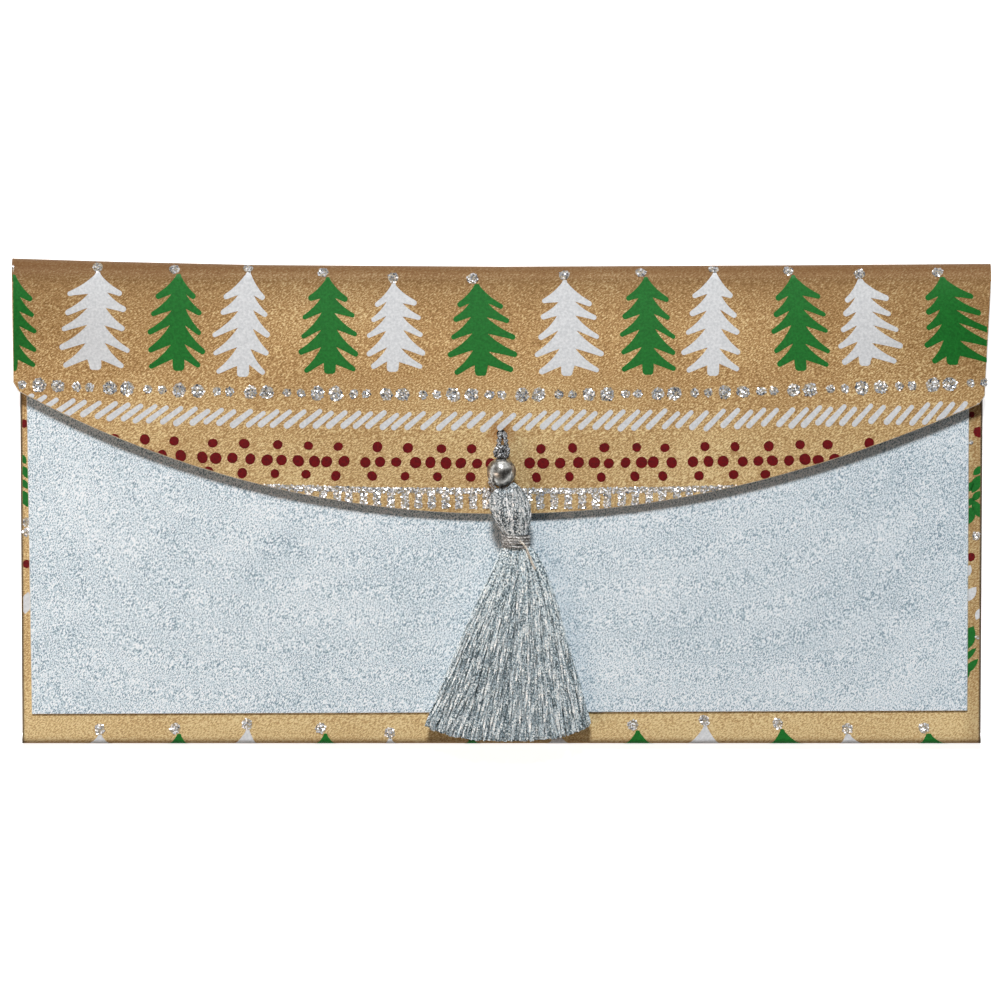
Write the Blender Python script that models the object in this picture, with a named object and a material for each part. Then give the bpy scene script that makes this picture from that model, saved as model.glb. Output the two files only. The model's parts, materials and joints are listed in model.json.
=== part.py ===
"""Gift envelope: a folded gold sheet, a glued silver panel, a hinged flap and a beaded tassel.

The envelope lies on its back, with +X along its width, +Y towards the top fold and +Z out of its
front. The origin is the middle of its back face. Lengths are in metres.
"""

import math

import bmesh
import bpy
from mathutils import Vector

# Sheets, and the gaps that neighbouring layers and folds keep
GOLD_SHEET = 0.00035
SILVER_CARD = 0.00045
LAYER_GAP = 0.0003
CREASE_GAP = 0.0003

# Body of the envelope
BODY_WIDTH = 0.2000
ENVELOPE_HEIGHT = 0.0995
SIDE_FOLD_GAP = 0.0005
POCKET_SWELL = 0.0038
MOUTH_SETBACK = 0.0095
FRONT_INSET = 0.0004
GLUE_TAB_WIDTH = 0.0140
GLUE_TAB_TAPER = 0.0060
GLUE_TAB_END_GAP = 0.0012

# Silver panel: the gold border that it leaves bare, and its setback from the pocket's mouth
LEFT_BORDER = 0.0018
RIGHT_BORDER = 0.0030
BOTTOM_BORDER = 0.0062
SILVER_TOP_SETBACK = 0.0006

# Flap
FLAP_WIDTH = 0.2030
FLAP_DEPTH = 0.0514
FLAP_SIDE_DEPTH = 0.0272
FLAP_SIDE_TAPER = 0.0007
FLAP_CORNER_CUT = 0.0012
FOLD_CLEARANCE = 0.0006
FLAP_ARCH = 0.00145
FLAP_TIP_DROP = 0.0006
FLAP_CORNER_DROP = 0.0043

# Hanging cord, its hole in the flap and its knots
HOLE_FROM_TIP = 0.0161
HOLE_CLEARANCE = 0.0003
CORD_DIAMETER = 0.0011
BORE_CLEARANCE = 0.0003
CORD_BEND_RISE = 0.0010
CORD_TO_KNOT = 0.0024
STOP_KNOT_WIDTH = 0.0034
STOP_KNOT_HEIGHT = 0.0011
KNOT_WIDTH = 0.0034
KNOT_LENGTH = 0.0022

# Bead and tassel
TASSEL_GAP = 0.00035
REST_GAP = 0.0003
BEAD_DIAMETER = 0.0060
HEAD_WIDTH = 0.0085
HEAD_THICKNESS = 0.0062
HEAD_LENGTH = 0.0094
HEAD_LEAN = 0.0026
NECK_WIDTH = 0.0043
NECK_THICKNESS = 0.0035
NECK_LENGTH = 0.0030
BINDING_THREAD = 0.00048
BINDING_PITCH = 0.00095
SKIRT_LENGTH = 0.0398
SKIRT_END_WIDTH = 0.0326
SKIRT_END_THICKNESS = 0.0036
SKIRT_END_BOW = 0.0046
SKIRT_END_OFFSET = 0.0015
SKIRT_SAG = 0.0005
SKIRT_SLICE = 0.0008
STRAND_WIDTH = 0.0008
STRAND_THICKNESS = 0.00024

# One overrun serves every cut
CUT_OVERRUN = 0.002

# Counts
PANEL_COLUMNS = 16
PANEL_ROWS = 8
FLAP_COLUMNS = 24
FLAP_ROWS = 12
FOLD_STEPS = 6
TOP_FOLD_STEPS = 14
BEND_STEPS = 6
ROUND_SIDES = 24
BEAD_RINGS = 12
STRAND_COLUMNS = 30
STRAND_LAYERS = 10
RAGGED_STRIDE = 7
RAGGED_CYCLE = 19
BINDING_TURNS = 2.5
BINDING_LOOP_POINTS = 24
REST_STEPS = 200
CROSS_POWER = 4

# Shapes, as shares of the sizes that they follow
FLAP_DROOP_SHARE = 0.45
SOCKET_SHARE = 0.5
SHOULDER_SHARES = ((0.00, 0.30), (0.05, 0.58), (0.14, 0.82), (0.28, 0.97), (0.42, 1.00))
TAPER_SHARES = ((0.58, 0.90), (0.72, 0.66), (0.86, 0.30), (1.00, 0.00))
KNOT_SHARES = ((-1.0, 0.52), (-0.62, 0.88), (0.0, 1.0), (0.62, 0.86), (1.0, 0.55))
STRAND_TOP_SHARE = 0.74
SKIRT_EDGE_SHARE = 0.35
SKIRT_RAGGED_SHARE = 0.012

# Heights of the layers at the side folds, from the table up
TAB_LOW = GOLD_SHEET + SIDE_FOLD_GAP
FRONT_LOW = TAB_LOW + GOLD_SHEET + LAYER_GAP
SILVER_LOW = FRONT_LOW + GOLD_SHEET + LAYER_GAP
SILVER_TOP = SILVER_LOW + SILVER_CARD

# Folds, and places along Y
SIDE_FOLD_RADIUS = (TAB_LOW + GOLD_SHEET) / 2
BOTTOM_FOLD_RADIUS = (FRONT_LOW + GOLD_SHEET) / 2
TOP_FOLD_RADIUS = (SILVER_TOP + POCKET_SWELL + FOLD_CLEARANCE + GOLD_SHEET) / 2
TOP_EDGE = ENVELOPE_HEIGHT / 2
BOTTOM_EDGE = -TOP_EDGE
BOTTOM_FOLD_Y = BOTTOM_EDGE + BOTTOM_FOLD_RADIUS
HINGE_Y = TOP_EDGE - TOP_FOLD_RADIUS
HINGE_Z = TOP_FOLD_RADIUS
MOUTH_Y = TOP_EDGE - MOUTH_SETBACK
FLAP_TIP_Y = TOP_EDGE - FLAP_DEPTH
FLAP_CORNER_Y = TOP_EDGE - FLAP_SIDE_DEPTH
HOLE_Y = FLAP_TIP_Y + HOLE_FROM_TIP

# Lines of the tassel above its own plane, and places along it from the hole to its end
CORD_RADIUS = CORD_DIAMETER / 2
BORE_RADIUS = CORD_RADIUS + BORE_CLEARANCE
BEAD_RADIUS = BEAD_DIAMETER / 2
BEND_START = TASSEL_GAP + CREASE_GAP
CORD_LINE = TASSEL_GAP + BEAD_RADIUS
HEAD_LINE = TASSEL_GAP + HEAD_THICKNESS / 2
NECK_LINE = TASSEL_GAP + BINDING_THREAD + BORE_CLEARANCE + NECK_THICKNESS / 2
SKIRT_LINE = TASSEL_GAP - SKIRT_SAG + SKIRT_END_THICKNESS / 2
KNOT_CENTRE = CORD_TO_KNOT + KNOT_LENGTH / 2
BEAD_CENTRE = CORD_TO_KNOT + KNOT_LENGTH + LAYER_GAP + BEAD_RADIUS
HEAD_START = BEAD_CENTRE + BEAD_RADIUS + LAYER_GAP
NECK_START = HEAD_START + HEAD_LENGTH
SKIRT_START = NECK_START + NECK_LENGTH + LAYER_GAP
SOCKET_DEPTH = SOCKET_SHARE * HEAD_LENGTH

# The tassel lifts about the corner that its cord's bend rounds off, measured from the hole
LIFT_PLACE = Vector((0, 0, BEND_START + CORD_BEND_RISE))


def clear_scene():
    for thing in list(bpy.data.objects):
        bpy.data.objects.remove(thing)


def finish(name, rgb, roughness, metallic):
    """A Principled material. rgb is what the eye sees, from 0 to 255."""
    material = bpy.data.materials.new(name)
    material.use_nodes = True
    shader = material.node_tree.nodes["Principled BSDF"]
    linear = [(value / 255) ** 2.2 for value in rgb]
    shader.inputs["Base Color"].default_value = (*linear, 1)
    shader.inputs["Roughness"].default_value = roughness
    shader.inputs["Metallic"].default_value = metallic
    return material


def object_from(name, made, material):
    """A scene object from a finished bmesh."""
    mesh = bpy.data.meshes.new(name)
    bmesh.ops.recalc_face_normals(made, faces=made.faces)
    made.to_mesh(mesh)
    made.free()
    mesh.materials.append(material)
    mesh.shade_smooth()
    mesh.set_sharp_from_angle(angle=math.radians(35))
    thing = bpy.data.objects.new(name, mesh)
    bpy.context.scene.collection.objects.link(thing)
    return thing


def pivot(name, place, slope=0, parent=None):
    """An empty on a joint's axis. The pieces that the joint moves hang from it."""
    empty = bpy.data.objects.new(name, None)
    bpy.context.scene.collection.objects.link(empty)
    empty.parent = parent
    empty.location = place
    empty.rotation_euler = (slope, 0, 0)
    return empty


def hang(thing, carrier, place=(0, 0, 0), turn=0):
    """Hangs a piece on an empty, at a place in the empty's own frame."""
    thing.parent = carrier
    thing.location = place
    thing.rotation_euler = (turn, 0, 0)


def hang_on_tassel(thing, lift, place=(0, 0, 0)):
    """Hangs a piece on the lifting empty, at a place measured from the hole."""
    hang(thing, lift, Vector(place) - LIFT_PLACE)


def even_steps(low, high, count):
    return [low + (high - low) * step / count for step in range(count + 1)]


def smooth_step(share):
    share = min(1, max(0, share))
    return share * share * (3 - 2 * share)


def shell(name, rows, material):
    """A closed sheet. rows[i][j] is a pair of points, on its outer and its inner face."""
    made = bmesh.new()
    outer, inner = [
        [[made.verts.new(pair[side]) for pair in row] for row in rows] for side in (0, 1)
    ]
    last_row, last_column = len(rows) - 1, len(rows[0]) - 1
    for grid in (outer, inner):
        for i in range(last_row):
            for j in range(last_column):
                made.faces.new((grid[i][j], grid[i + 1][j], grid[i + 1][j + 1], grid[i][j + 1]))
    rim = [(i, 0) for i in range(last_row)]
    rim += [(last_row, j) for j in range(last_column)]
    rim += [(i, last_column) for i in range(last_row, 0, -1)]
    rim += [(0, j) for j in range(last_column, 0, -1)]
    for (a, b), (c, d) in zip(rim, rim[1:] + rim[:1]):
        made.faces.new((outer[a][b], outer[c][d], inner[c][d], inner[a][b]))
    return object_from(name, made, material)


def swell(x, y):
    """How far the springy pocket stands above its flat state."""
    across = 1 - min(1, abs(2 * x / BODY_WIDTH)) ** CROSS_POWER
    along = min(1, max(0, (y - BOTTOM_FOLD_Y) / (MOUTH_Y - BOTTOM_FOLD_Y)))
    return POCKET_SWELL * across * math.sin(math.pi / 2 * along)


def layer_pair(x, y, low, thickness):
    """Outer and inner point of a layer of the front, which follows the swell."""
    height = low + swell(x, y)
    return (x, y, height + thickness), (x, y, height)


def build_back_panel(material):
    """Flat rectangle between the creases."""
    half = BODY_WIDTH / 2 - SIDE_FOLD_RADIUS - CREASE_GAP / 2
    low, high = BOTTOM_FOLD_Y + CREASE_GAP / 2, HINGE_Y - CREASE_GAP / 2
    rows = [[((x, y, GOLD_SHEET), (x, y, 0)) for y in (low, high)] for x in (-half, half)]
    return shell("back_panel", rows, material)


def build_front_panel(material):
    """The field that turns up at the bottom fold and runs to the pocket's mouth."""
    half = BODY_WIDTH / 2 - FRONT_INSET
    inner_radius = BOTTOM_FOLD_RADIUS - GOLD_SHEET
    first_turn = math.pi + CREASE_GAP / 2 / BOTTOM_FOLD_RADIUS
    rows = []
    for x in even_steps(-half, half, PANEL_COLUMNS):
        row = []
        for turn in even_steps(first_turn, 2 * math.pi, FOLD_STEPS)[:-1]:
            row.append(tuple(
                (x, BOTTOM_FOLD_Y + radius * math.sin(turn),
                 BOTTOM_FOLD_RADIUS + radius * math.cos(turn))
                for radius in (BOTTOM_FOLD_RADIUS, inner_radius)
            ))
        for y in even_steps(BOTTOM_FOLD_Y, MOUTH_Y, PANEL_ROWS):
            row.append(layer_pair(x, y, FRONT_LOW, GOLD_SHEET))
        rows.append(row)
    return shell("front_panel", rows, material)


def build_glue_tab(name, side, material):
    """A side field of the sheet: folded in over the back, under the front panel."""
    fold_x = BODY_WIDTH / 2 - SIDE_FOLD_RADIUS
    inner_radius = SIDE_FOLD_RADIUS - GOLD_SHEET
    first_turn = math.pi - CREASE_GAP / 2 / SIDE_FOLD_RADIUS
    low, high = BOTTOM_FOLD_Y + GLUE_TAB_END_GAP, MOUTH_Y - GLUE_TAB_END_GAP
    rows = []
    for share in even_steps(0, 1, PANEL_ROWS):
        row = []
        y = low + (high - low) * share
        for turn in even_steps(first_turn, 0, FOLD_STEPS)[:-1]:
            row.append(tuple(
                (side * (fold_x + radius * math.sin(turn)), y,
                 SIDE_FOLD_RADIUS + radius * math.cos(turn))
                for radius in (SIDE_FOLD_RADIUS, inner_radius)
            ))
        for inward in even_steps(0, 1, PANEL_ROWS // 2):
            x = side * (fold_x - (GLUE_TAB_WIDTH - SIDE_FOLD_RADIUS) * inward)
            tapered = y + GLUE_TAB_TAPER * inward * (1 - 2 * share)
            row.append(layer_pair(x, tapered, TAB_LOW, GOLD_SHEET))
        rows.append(row)
    return shell(name, rows, material)


def build_silver_panel(material):
    left = -BODY_WIDTH / 2 + LEFT_BORDER
    right = BODY_WIDTH / 2 - RIGHT_BORDER
    low, high = BOTTOM_EDGE + BOTTOM_BORDER, MOUTH_Y - SILVER_TOP_SETBACK
    rows = [
        [layer_pair(x, y, SILVER_LOW, SILVER_CARD) for y in even_steps(low, high, PANEL_ROWS)]
        for x in even_steps(left, right, PANEL_COLUMNS)
    ]
    return shell("silver_panel", rows, material)


def build_top_fold(material):
    """The rolled crease between the back panel and the flap. It bends as the flap opens."""
    half = FLAP_WIDTH / 2
    inner_radius = TOP_FOLD_RADIUS - GOLD_SHEET
    trim = CREASE_GAP / 2 / TOP_FOLD_RADIUS
    rows = []
    for x in (-half, half):
        rows.append([
            tuple(
                (x, HINGE_Y + radius * math.sin(turn), HINGE_Z + radius * math.cos(turn))
                for radius in (TOP_FOLD_RADIUS, inner_radius)
            )
            for turn in even_steps(math.pi - trim, trim, TOP_FOLD_STEPS)
        ])
    return shell("top_fold", rows, material)


def flap_edge_y(x):
    """The flap's lower edge: a shallow parabola, deepest in the middle, with cut corners."""
    half = FLAP_WIDTH / 2 - FLAP_SIDE_TAPER
    curve = FLAP_TIP_Y + (FLAP_CORNER_Y - FLAP_TIP_Y) * (x / half) ** 2
    return curve + max(0, abs(x) - (half - FLAP_CORNER_CUT))


def flap_underside(x, y):
    """Height of the flap's inner face: an arch over the pocket that droops at its corners."""
    share = (HINGE_Y - y) / (HINGE_Y - FLAP_TIP_Y)
    level = 2 * TOP_FOLD_RADIUS - GOLD_SHEET
    arch = FLAP_ARCH * math.sin(math.pi * share) - FLAP_TIP_DROP * share * share
    outward = abs(2 * x / FLAP_WIDTH) ** CROSS_POWER
    return level + arch - FLAP_CORNER_DROP * outward * smooth_step(share / FLAP_DROOP_SHARE)


def surface_under_tassel(y):
    """Height of what the tassel lies over: the flap, then the silver panel, then bare gold."""
    if y > FLAP_TIP_Y:
        return flap_underside(0, y) + GOLD_SHEET
    if y > BOTTOM_EDGE + BOTTOM_BORDER:
        return SILVER_TOP + swell(0, y)
    return FRONT_LOW + GOLD_SHEET + swell(0, y)


def tassel_slope():
    """The steepest slope at which the tassel still keeps its rest gap to all that it lies over."""
    hole_z = flap_underside(0, HOLE_Y) + GOLD_SHEET
    slopes = []
    for along in even_steps(BEAD_CENTRE, SKIRT_START + SKIRT_LENGTH, REST_STEPS):
        lowest = TASSEL_GAP
        if along > SKIRT_START:
            share = (along - SKIRT_START) / SKIRT_LENGTH
            lowest += BORE_CLEARANCE * (1 - share) - SKIRT_SAG * share
        drop = hole_z + lowest - REST_GAP - surface_under_tassel(HOLE_Y - along)
        slopes.append(math.asin(drop / along))
    return min(slopes)


def cut(target, cutter):
    """Takes the cutter's shape out of the target."""
    cutter.hide_render = True
    cutter.display_type = "WIRE"
    change = target.modifiers.new("hole", "BOOLEAN")
    change.operation = "DIFFERENCE"
    change.solver = "EXACT"
    change.object = cutter


def rod(name, radius, start, end, material):
    """A straight round bar between two points."""
    made = bmesh.new()
    points = [Vector(start), Vector(end)]
    axis = points[1] - points[0]
    turn = axis.to_track_quat("Z", "Y")
    rings = []
    for point in points:
        ring = []
        for side in range(ROUND_SIDES):
            angle = 2 * math.pi * side / ROUND_SIDES
            spoke = Vector((radius * math.cos(angle), radius * math.sin(angle), 0))
            ring.append(made.verts.new(point + turn @ spoke))
        rings.append(ring)
    low, high = rings
    for i in range(ROUND_SIDES):
        j = (i + 1) % ROUND_SIDES
        made.faces.new((low[i], low[j], high[j], high[i]))
    made.faces.new(low)
    made.faces.new(high)
    return object_from(name, made, material)


def build_flap(hinge, swing, material):
    """The flap, which hangs from the hinge, with the cord's hole punched through it."""
    half = FLAP_WIDTH / 2
    corner_half = half - FLAP_SIDE_TAPER
    inner_share = 1 - FLAP_CORNER_CUT / corner_half
    columns = [-1, *even_steps(-inner_share, inner_share, FLAP_COLUMNS), 1]
    top = HINGE_Y - CREASE_GAP / 2
    rows = []
    for column in columns:
        row = []
        for y in even_steps(top, flap_edge_y(column * corner_half), FLAP_ROWS):
            down = min(1, (top - y) / (top - FLAP_CORNER_Y))
            x = column * (half - FLAP_SIDE_TAPER * down)
            height = flap_underside(x, y)
            row.append(((x, y, height + GOLD_SHEET), (x, y, height)))
        rows.append(row)
    flap = shell("flap", rows, material)
    hang(flap, hinge, (0, -HINGE_Y, -HINGE_Z))
    reach = GOLD_SHEET + CUT_OVERRUN
    hole_radius = CORD_RADIUS + HOLE_CLEARANCE
    punch = rod("hole_punch", hole_radius, (0, 0, -reach), (0, 0, reach), material)
    hang(punch, swing)
    cut(flap, punch)


def turned(name, profile, material):
    """A ring turned about Y. profile is a closed loop of (y, radius)."""
    made = bmesh.new()
    rings = []
    for side in range(ROUND_SIDES):
        angle = 2 * math.pi * side / ROUND_SIDES
        rings.append([
            made.verts.new((radius * math.cos(angle), y, radius * math.sin(angle)))
            for y, radius in profile
        ])
    for ring, following in zip(rings, rings[1:] + rings[:1]):
        for i in range(len(profile)):
            j = (i + 1) % len(profile)
            made.faces.new((ring[i], ring[j], following[j], following[i]))
    return object_from(name, made, material)


def bored_knot(name, length, width, material):
    """A knot drawn tight round the cord, bored for it."""
    profile = [
        (along * length / 2, BORE_RADIUS + (width / 2 - BORE_RADIUS) * size)
        for along, size in KNOT_SHARES
    ]
    profile += [(length / 2, BORE_RADIUS), (-length / 2, BORE_RADIUS)]
    return turned(name, profile, material)


def tube(name, points, radius, resolution, material):
    """A closed round tube along points."""
    curve = bpy.data.curves.new(name, "CURVE")
    curve.dimensions = "3D"
    curve.bevel_depth = radius
    curve.bevel_resolution = resolution
    curve.use_fill_caps = True
    line = curve.splines.new("POLY")
    line.points.add(len(points) - 1)
    for spot, point in zip(line.points, points):
        spot.co = (*point, 1)
    curve.materials.append(material)
    thing = bpy.data.objects.new(name, curve)
    bpy.context.scene.collection.objects.link(thing)
    return thing


def build_anchor(swing, material):
    """The cord's stretch through the hole, and the knot that stops it behind the flap."""
    knot_middle = -GOLD_SHEET - LAYER_GAP - STOP_KNOT_HEIGHT / 2
    low, high = (0, 0, knot_middle - STOP_KNOT_HEIGHT / 2), (0, 0, TASSEL_GAP)
    hang(rod("hanging_cord", CORD_RADIUS, low, high, material), swing)
    stop = bored_knot("stop_knot", STOP_KNOT_HEIGHT, STOP_KNOT_WIDTH, material)
    hang(stop, swing, (0, 0, knot_middle), math.pi / 2)


def build_cord_bend(swing, material):
    """The cord turns here from the hole to the flap's surface. It bends as the tassel lifts."""
    start = Vector((0, 0, BEND_START))
    corner = start + Vector((0, 0, CORD_BEND_RISE))
    end = corner - Vector((0, CORD_BEND_RISE, 0))
    points = [
        start.lerp(corner, t).lerp(corner.lerp(end, t), t) for t in even_steps(0, 1, BEND_STEPS)
    ]
    hang(tube("cord_bend", points, CORD_RADIUS, 2, material), swing)


def build_tassel_cord(lift, material):
    """The cord's run through the knot and the bead, into the tassel's head."""
    start = Vector((0, -CORD_BEND_RISE - CREASE_GAP, BEND_START + CORD_BEND_RISE))
    end = Vector((0, -CORD_TO_KNOT, CORD_LINE))
    points = []
    for t in even_steps(0, 1, BEND_STEPS):
        y = start.y + (end.y - start.y) * t
        points.append(Vector((0, y, start.z + (end.z - start.z) * smooth_step(t))))
    points.append(Vector((0, -(HEAD_START + SOCKET_DEPTH - BORE_CLEARANCE), CORD_LINE)))
    hang_on_tassel(tube("tassel_cord", points, CORD_RADIUS, 2, material), lift)


def build_bead(lift, material):
    first = math.asin(BORE_RADIUS / BEAD_RADIUS)
    profile = [
        (BEAD_RADIUS * math.cos(angle), BEAD_RADIUS * math.sin(angle))
        for angle in even_steps(first, math.pi - first, BEAD_RINGS)
    ]
    hang_on_tassel(turned("bead", profile, material), lift, (0, -BEAD_CENTRE, CORD_LINE))


def ellipse(centre, width, thickness):
    """Points of an ellipse that faces along Y."""
    x, y, z = centre
    angles = [2 * math.pi * side / ROUND_SIDES for side in range(ROUND_SIDES)]
    return [(x + width / 2 * math.cos(a), y, z + thickness / 2 * math.sin(a)) for a in angles]


def loft(name, sections, material):
    """A solid through closed sections, each a list of points, with a flat cap at each end."""
    made = bmesh.new()
    rings = [[made.verts.new(point) for point in section] for section in sections]
    for ring, following in zip(rings, rings[1:]):
        for i in range(len(ring)):
            j = (i + 1) % len(ring)
            made.faces.new((ring[i], ring[j], following[j], following[i]))
    made.faces.new(rings[0])
    made.faces.new(rings[-1])
    return object_from(name, made, material)


def head_centre(share):
    """The middle of the head, which leans to one side on its way to the neck."""
    height = HEAD_LINE + (NECK_LINE - HEAD_LINE) * smooth_step(share)
    return HEAD_LEAN * share, -(HEAD_START + HEAD_LENGTH * share), height


def build_head(lift, material):
    """Threads folded over the cord: round shoulders that draw in to the bound neck."""
    sections = [
        ellipse(head_centre(along), HEAD_WIDTH * size, HEAD_THICKNESS * size)
        for along, size in SHOULDER_SHARES
    ]
    for along, size in TAPER_SHARES:
        width = NECK_WIDTH + (HEAD_WIDTH - NECK_WIDTH) * size
        thickness = NECK_THICKNESS + (HEAD_THICKNESS - NECK_THICKNESS) * size
        sections.append(ellipse(head_centre(along), width, thickness))
    neck_end = (HEAD_LEAN, -(NECK_START + NECK_LENGTH), NECK_LINE)
    sections.append(ellipse(neck_end, NECK_WIDTH, NECK_THICKNESS))
    head = loft("tassel_head", sections, material)
    hang_on_tassel(head, lift)
    mouth = (0, -(HEAD_START - CUT_OVERRUN), CORD_LINE)
    floor = (0, -(HEAD_START + SOCKET_DEPTH), CORD_LINE)
    socket = rod("cord_socket", BORE_RADIUS, mouth, floor, material)
    hang_on_tassel(socket, lift)
    cut(head, socket)


def build_binding(lift, material):
    """Thread wound round the neck. Prints the least gap between its turns."""
    across = NECK_WIDTH / 2 + BORE_CLEARANCE + BINDING_THREAD / 2
    up = NECK_THICKNESS / 2 + BORE_CLEARANCE + BINDING_THREAD / 2
    first = NECK_START + (NECK_LENGTH - BINDING_PITCH * BINDING_TURNS) / 2
    points = []
    for step in range(int(BINDING_TURNS * BINDING_LOOP_POINTS) + 1):
        turn = step / BINDING_LOOP_POINTS
        angle = 2 * math.pi * turn
        x, z = HEAD_LEAN + across * math.cos(angle), NECK_LINE + up * math.sin(angle)
        points.append(Vector((x, -(first + BINDING_PITCH * turn), z)))
    half_loop = BINDING_LOOP_POINTS // 2
    least = min(
        (points[i] - points[j]).length
        for i in range(len(points)) for j in range(i + half_loop, len(points))
    )
    print(f"neck binding: least gap between turns {(least - BINDING_THREAD) * 1000:.2f} mm")
    hang_on_tassel(tube("neck_binding", points, BINDING_THREAD / 2, 1, material), lift)


def skirt_top_point(u, v, along):
    """A point of the slice that holds the strands. u and v run from -1 to 1."""
    across, up = u * math.sqrt(1 - v * v / 2), v * math.sqrt(1 - u * u / 2)
    width = NECK_WIDTH / 2 + BORE_CLEARANCE + BINDING_THREAD
    thickness = NECK_THICKNESS / 2 + BINDING_THREAD
    return Vector((
        HEAD_LEAN + width * across, -(SKIRT_START + along), NECK_LINE + thickness * up
    ))


def skirt_end_point(u, v, order):
    """Where a strand ends: on a fan with a bowed and slightly ragged hem."""
    ragged = SKIRT_RAGGED_SHARE * (order * RAGGED_STRIDE % RAGGED_CYCLE) / RAGGED_CYCLE
    length = (SKIRT_LENGTH - SKIRT_END_BOW * u * u) * (1 - ragged)
    across = (SKIRT_END_WIDTH - STRAND_WIDTH) / 2 * u
    up = (SKIRT_END_THICKNESS - STRAND_THICKNESS) / 2 * v * (1 - SKIRT_EDGE_SHARE * u * u)
    return Vector((SKIRT_END_OFFSET + across, -(SKIRT_START + length), SKIRT_LINE + up))


def build_skirt(lift, material):
    """Hundreds of cut strands, fused at the top to one thin slice."""
    made = bmesh.new()
    us, vs = even_steps(-1, 1, STRAND_COLUMNS), even_steps(-1, 1, STRAND_LAYERS)
    low = [[made.verts.new(skirt_top_point(u, v, SKIRT_SLICE)) for v in vs] for u in us]
    rim = [(i, 0) for i in range(STRAND_COLUMNS)]
    rim += [(STRAND_COLUMNS, j) for j in range(STRAND_LAYERS)]
    rim += [(i, STRAND_LAYERS) for i in range(STRAND_COLUMNS, 0, -1)]
    rim += [(0, j) for j in range(STRAND_LAYERS, 0, -1)]
    top = [made.verts.new(skirt_top_point(us[i], vs[j], 0)) for i, j in rim]
    made.faces.new(top)
    for k, (i, j) in enumerate(rim):
        following = (k + 1) % len(rim)
        a, b = rim[following]
        made.faces.new((top[k], top[following], low[a][b], low[i][j]))
    for i in range(STRAND_COLUMNS):
        for j in range(STRAND_LAYERS):
            cell = [low[i][j], low[i + 1][j], low[i + 1][j + 1], low[i][j + 1]]
            middle = sum((corner.co for corner in cell), Vector()) / 4
            root = [made.verts.new(middle.lerp(corner.co, STRAND_TOP_SHARE)) for corner in cell]
            u, v = (us[i] + us[i + 1]) / 2, (vs[j] + vs[j + 1]) / 2
            end = skirt_end_point(u, v, i * STRAND_LAYERS + j)
            tip = []
            for across, up in ((-1, -1), (1, -1), (1, 1), (-1, 1)):
                offset = Vector((across * STRAND_WIDTH / 2, 0, up * STRAND_THICKNESS / 2))
                tip.append(made.verts.new(end + offset))
            for k in range(4):
                n = (k + 1) % 4
                made.faces.new((cell[k], cell[n], root[n], root[k]))
                made.faces.new((root[k], root[n], tip[n], tip[k]))
            made.faces.new(tip)
    hang_on_tassel(object_from("tassel_skirt", made, material), lift)


def main():
    clear_scene()
    gold = finish("gold_paper", (204, 160, 98), 0.45, 0.6)
    silver = finish("silver_paper", (203, 214, 222), 0.42, 0.6)
    thread = finish("silver_thread", (158, 165, 170), 0.35, 0.7)
    binding = finish("binding_thread", (150, 142, 135), 0.5, 0.3)
    metal = finish("bead_metal", (170, 168, 166), 0.25, 1.0)

    build_back_panel(gold)
    build_front_panel(gold)
    build_glue_tab("left_glue_tab", -1, gold)
    build_glue_tab("right_glue_tab", 1, gold)
    build_silver_panel(silver)
    build_top_fold(gold)

    hole_z = flap_underside(0, HOLE_Y) + GOLD_SHEET
    hinge = pivot("flap_hinge", (0, HINGE_Y, HINGE_Z))
    swing_place = (0, HOLE_Y - HINGE_Y, hole_z - HINGE_Z)
    swing = pivot("tassel_swing", swing_place, tassel_slope(), hinge)
    lift = pivot("tassel_lift", LIFT_PLACE, 0, swing)

    build_flap(hinge, swing, gold)
    build_anchor(swing, thread)
    build_cord_bend(swing, thread)
    build_tassel_cord(lift, thread)
    knot = bored_knot("bead_knot", KNOT_LENGTH, KNOT_WIDTH, thread)
    hang_on_tassel(knot, lift, (0, -KNOT_CENTRE, CORD_LINE))
    build_bead(lift, metal)
    build_head(lift, thread)
    build_binding(lift, binding)
    build_skirt(lift, thread)


main()
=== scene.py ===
# %% [markdown]
# # A gold gift envelope with a beaded tassel
#
# The real object is one sheet of gold paper, die-cut and folded into a pocket with a flap. A card
# of silver paper is glued on its front, and a bead and a silver tassel hang from a small hole in
# the flap. The exact solids, which move and collide, are the fixed frame of this scene. The lesson
# builds what the eye sees around them. Shapes are worked out in millimetres, and each piece is
# scaled to metres when it is made.

import json
import math
import random

import bmesh
import bpy
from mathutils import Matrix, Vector, noise

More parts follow.
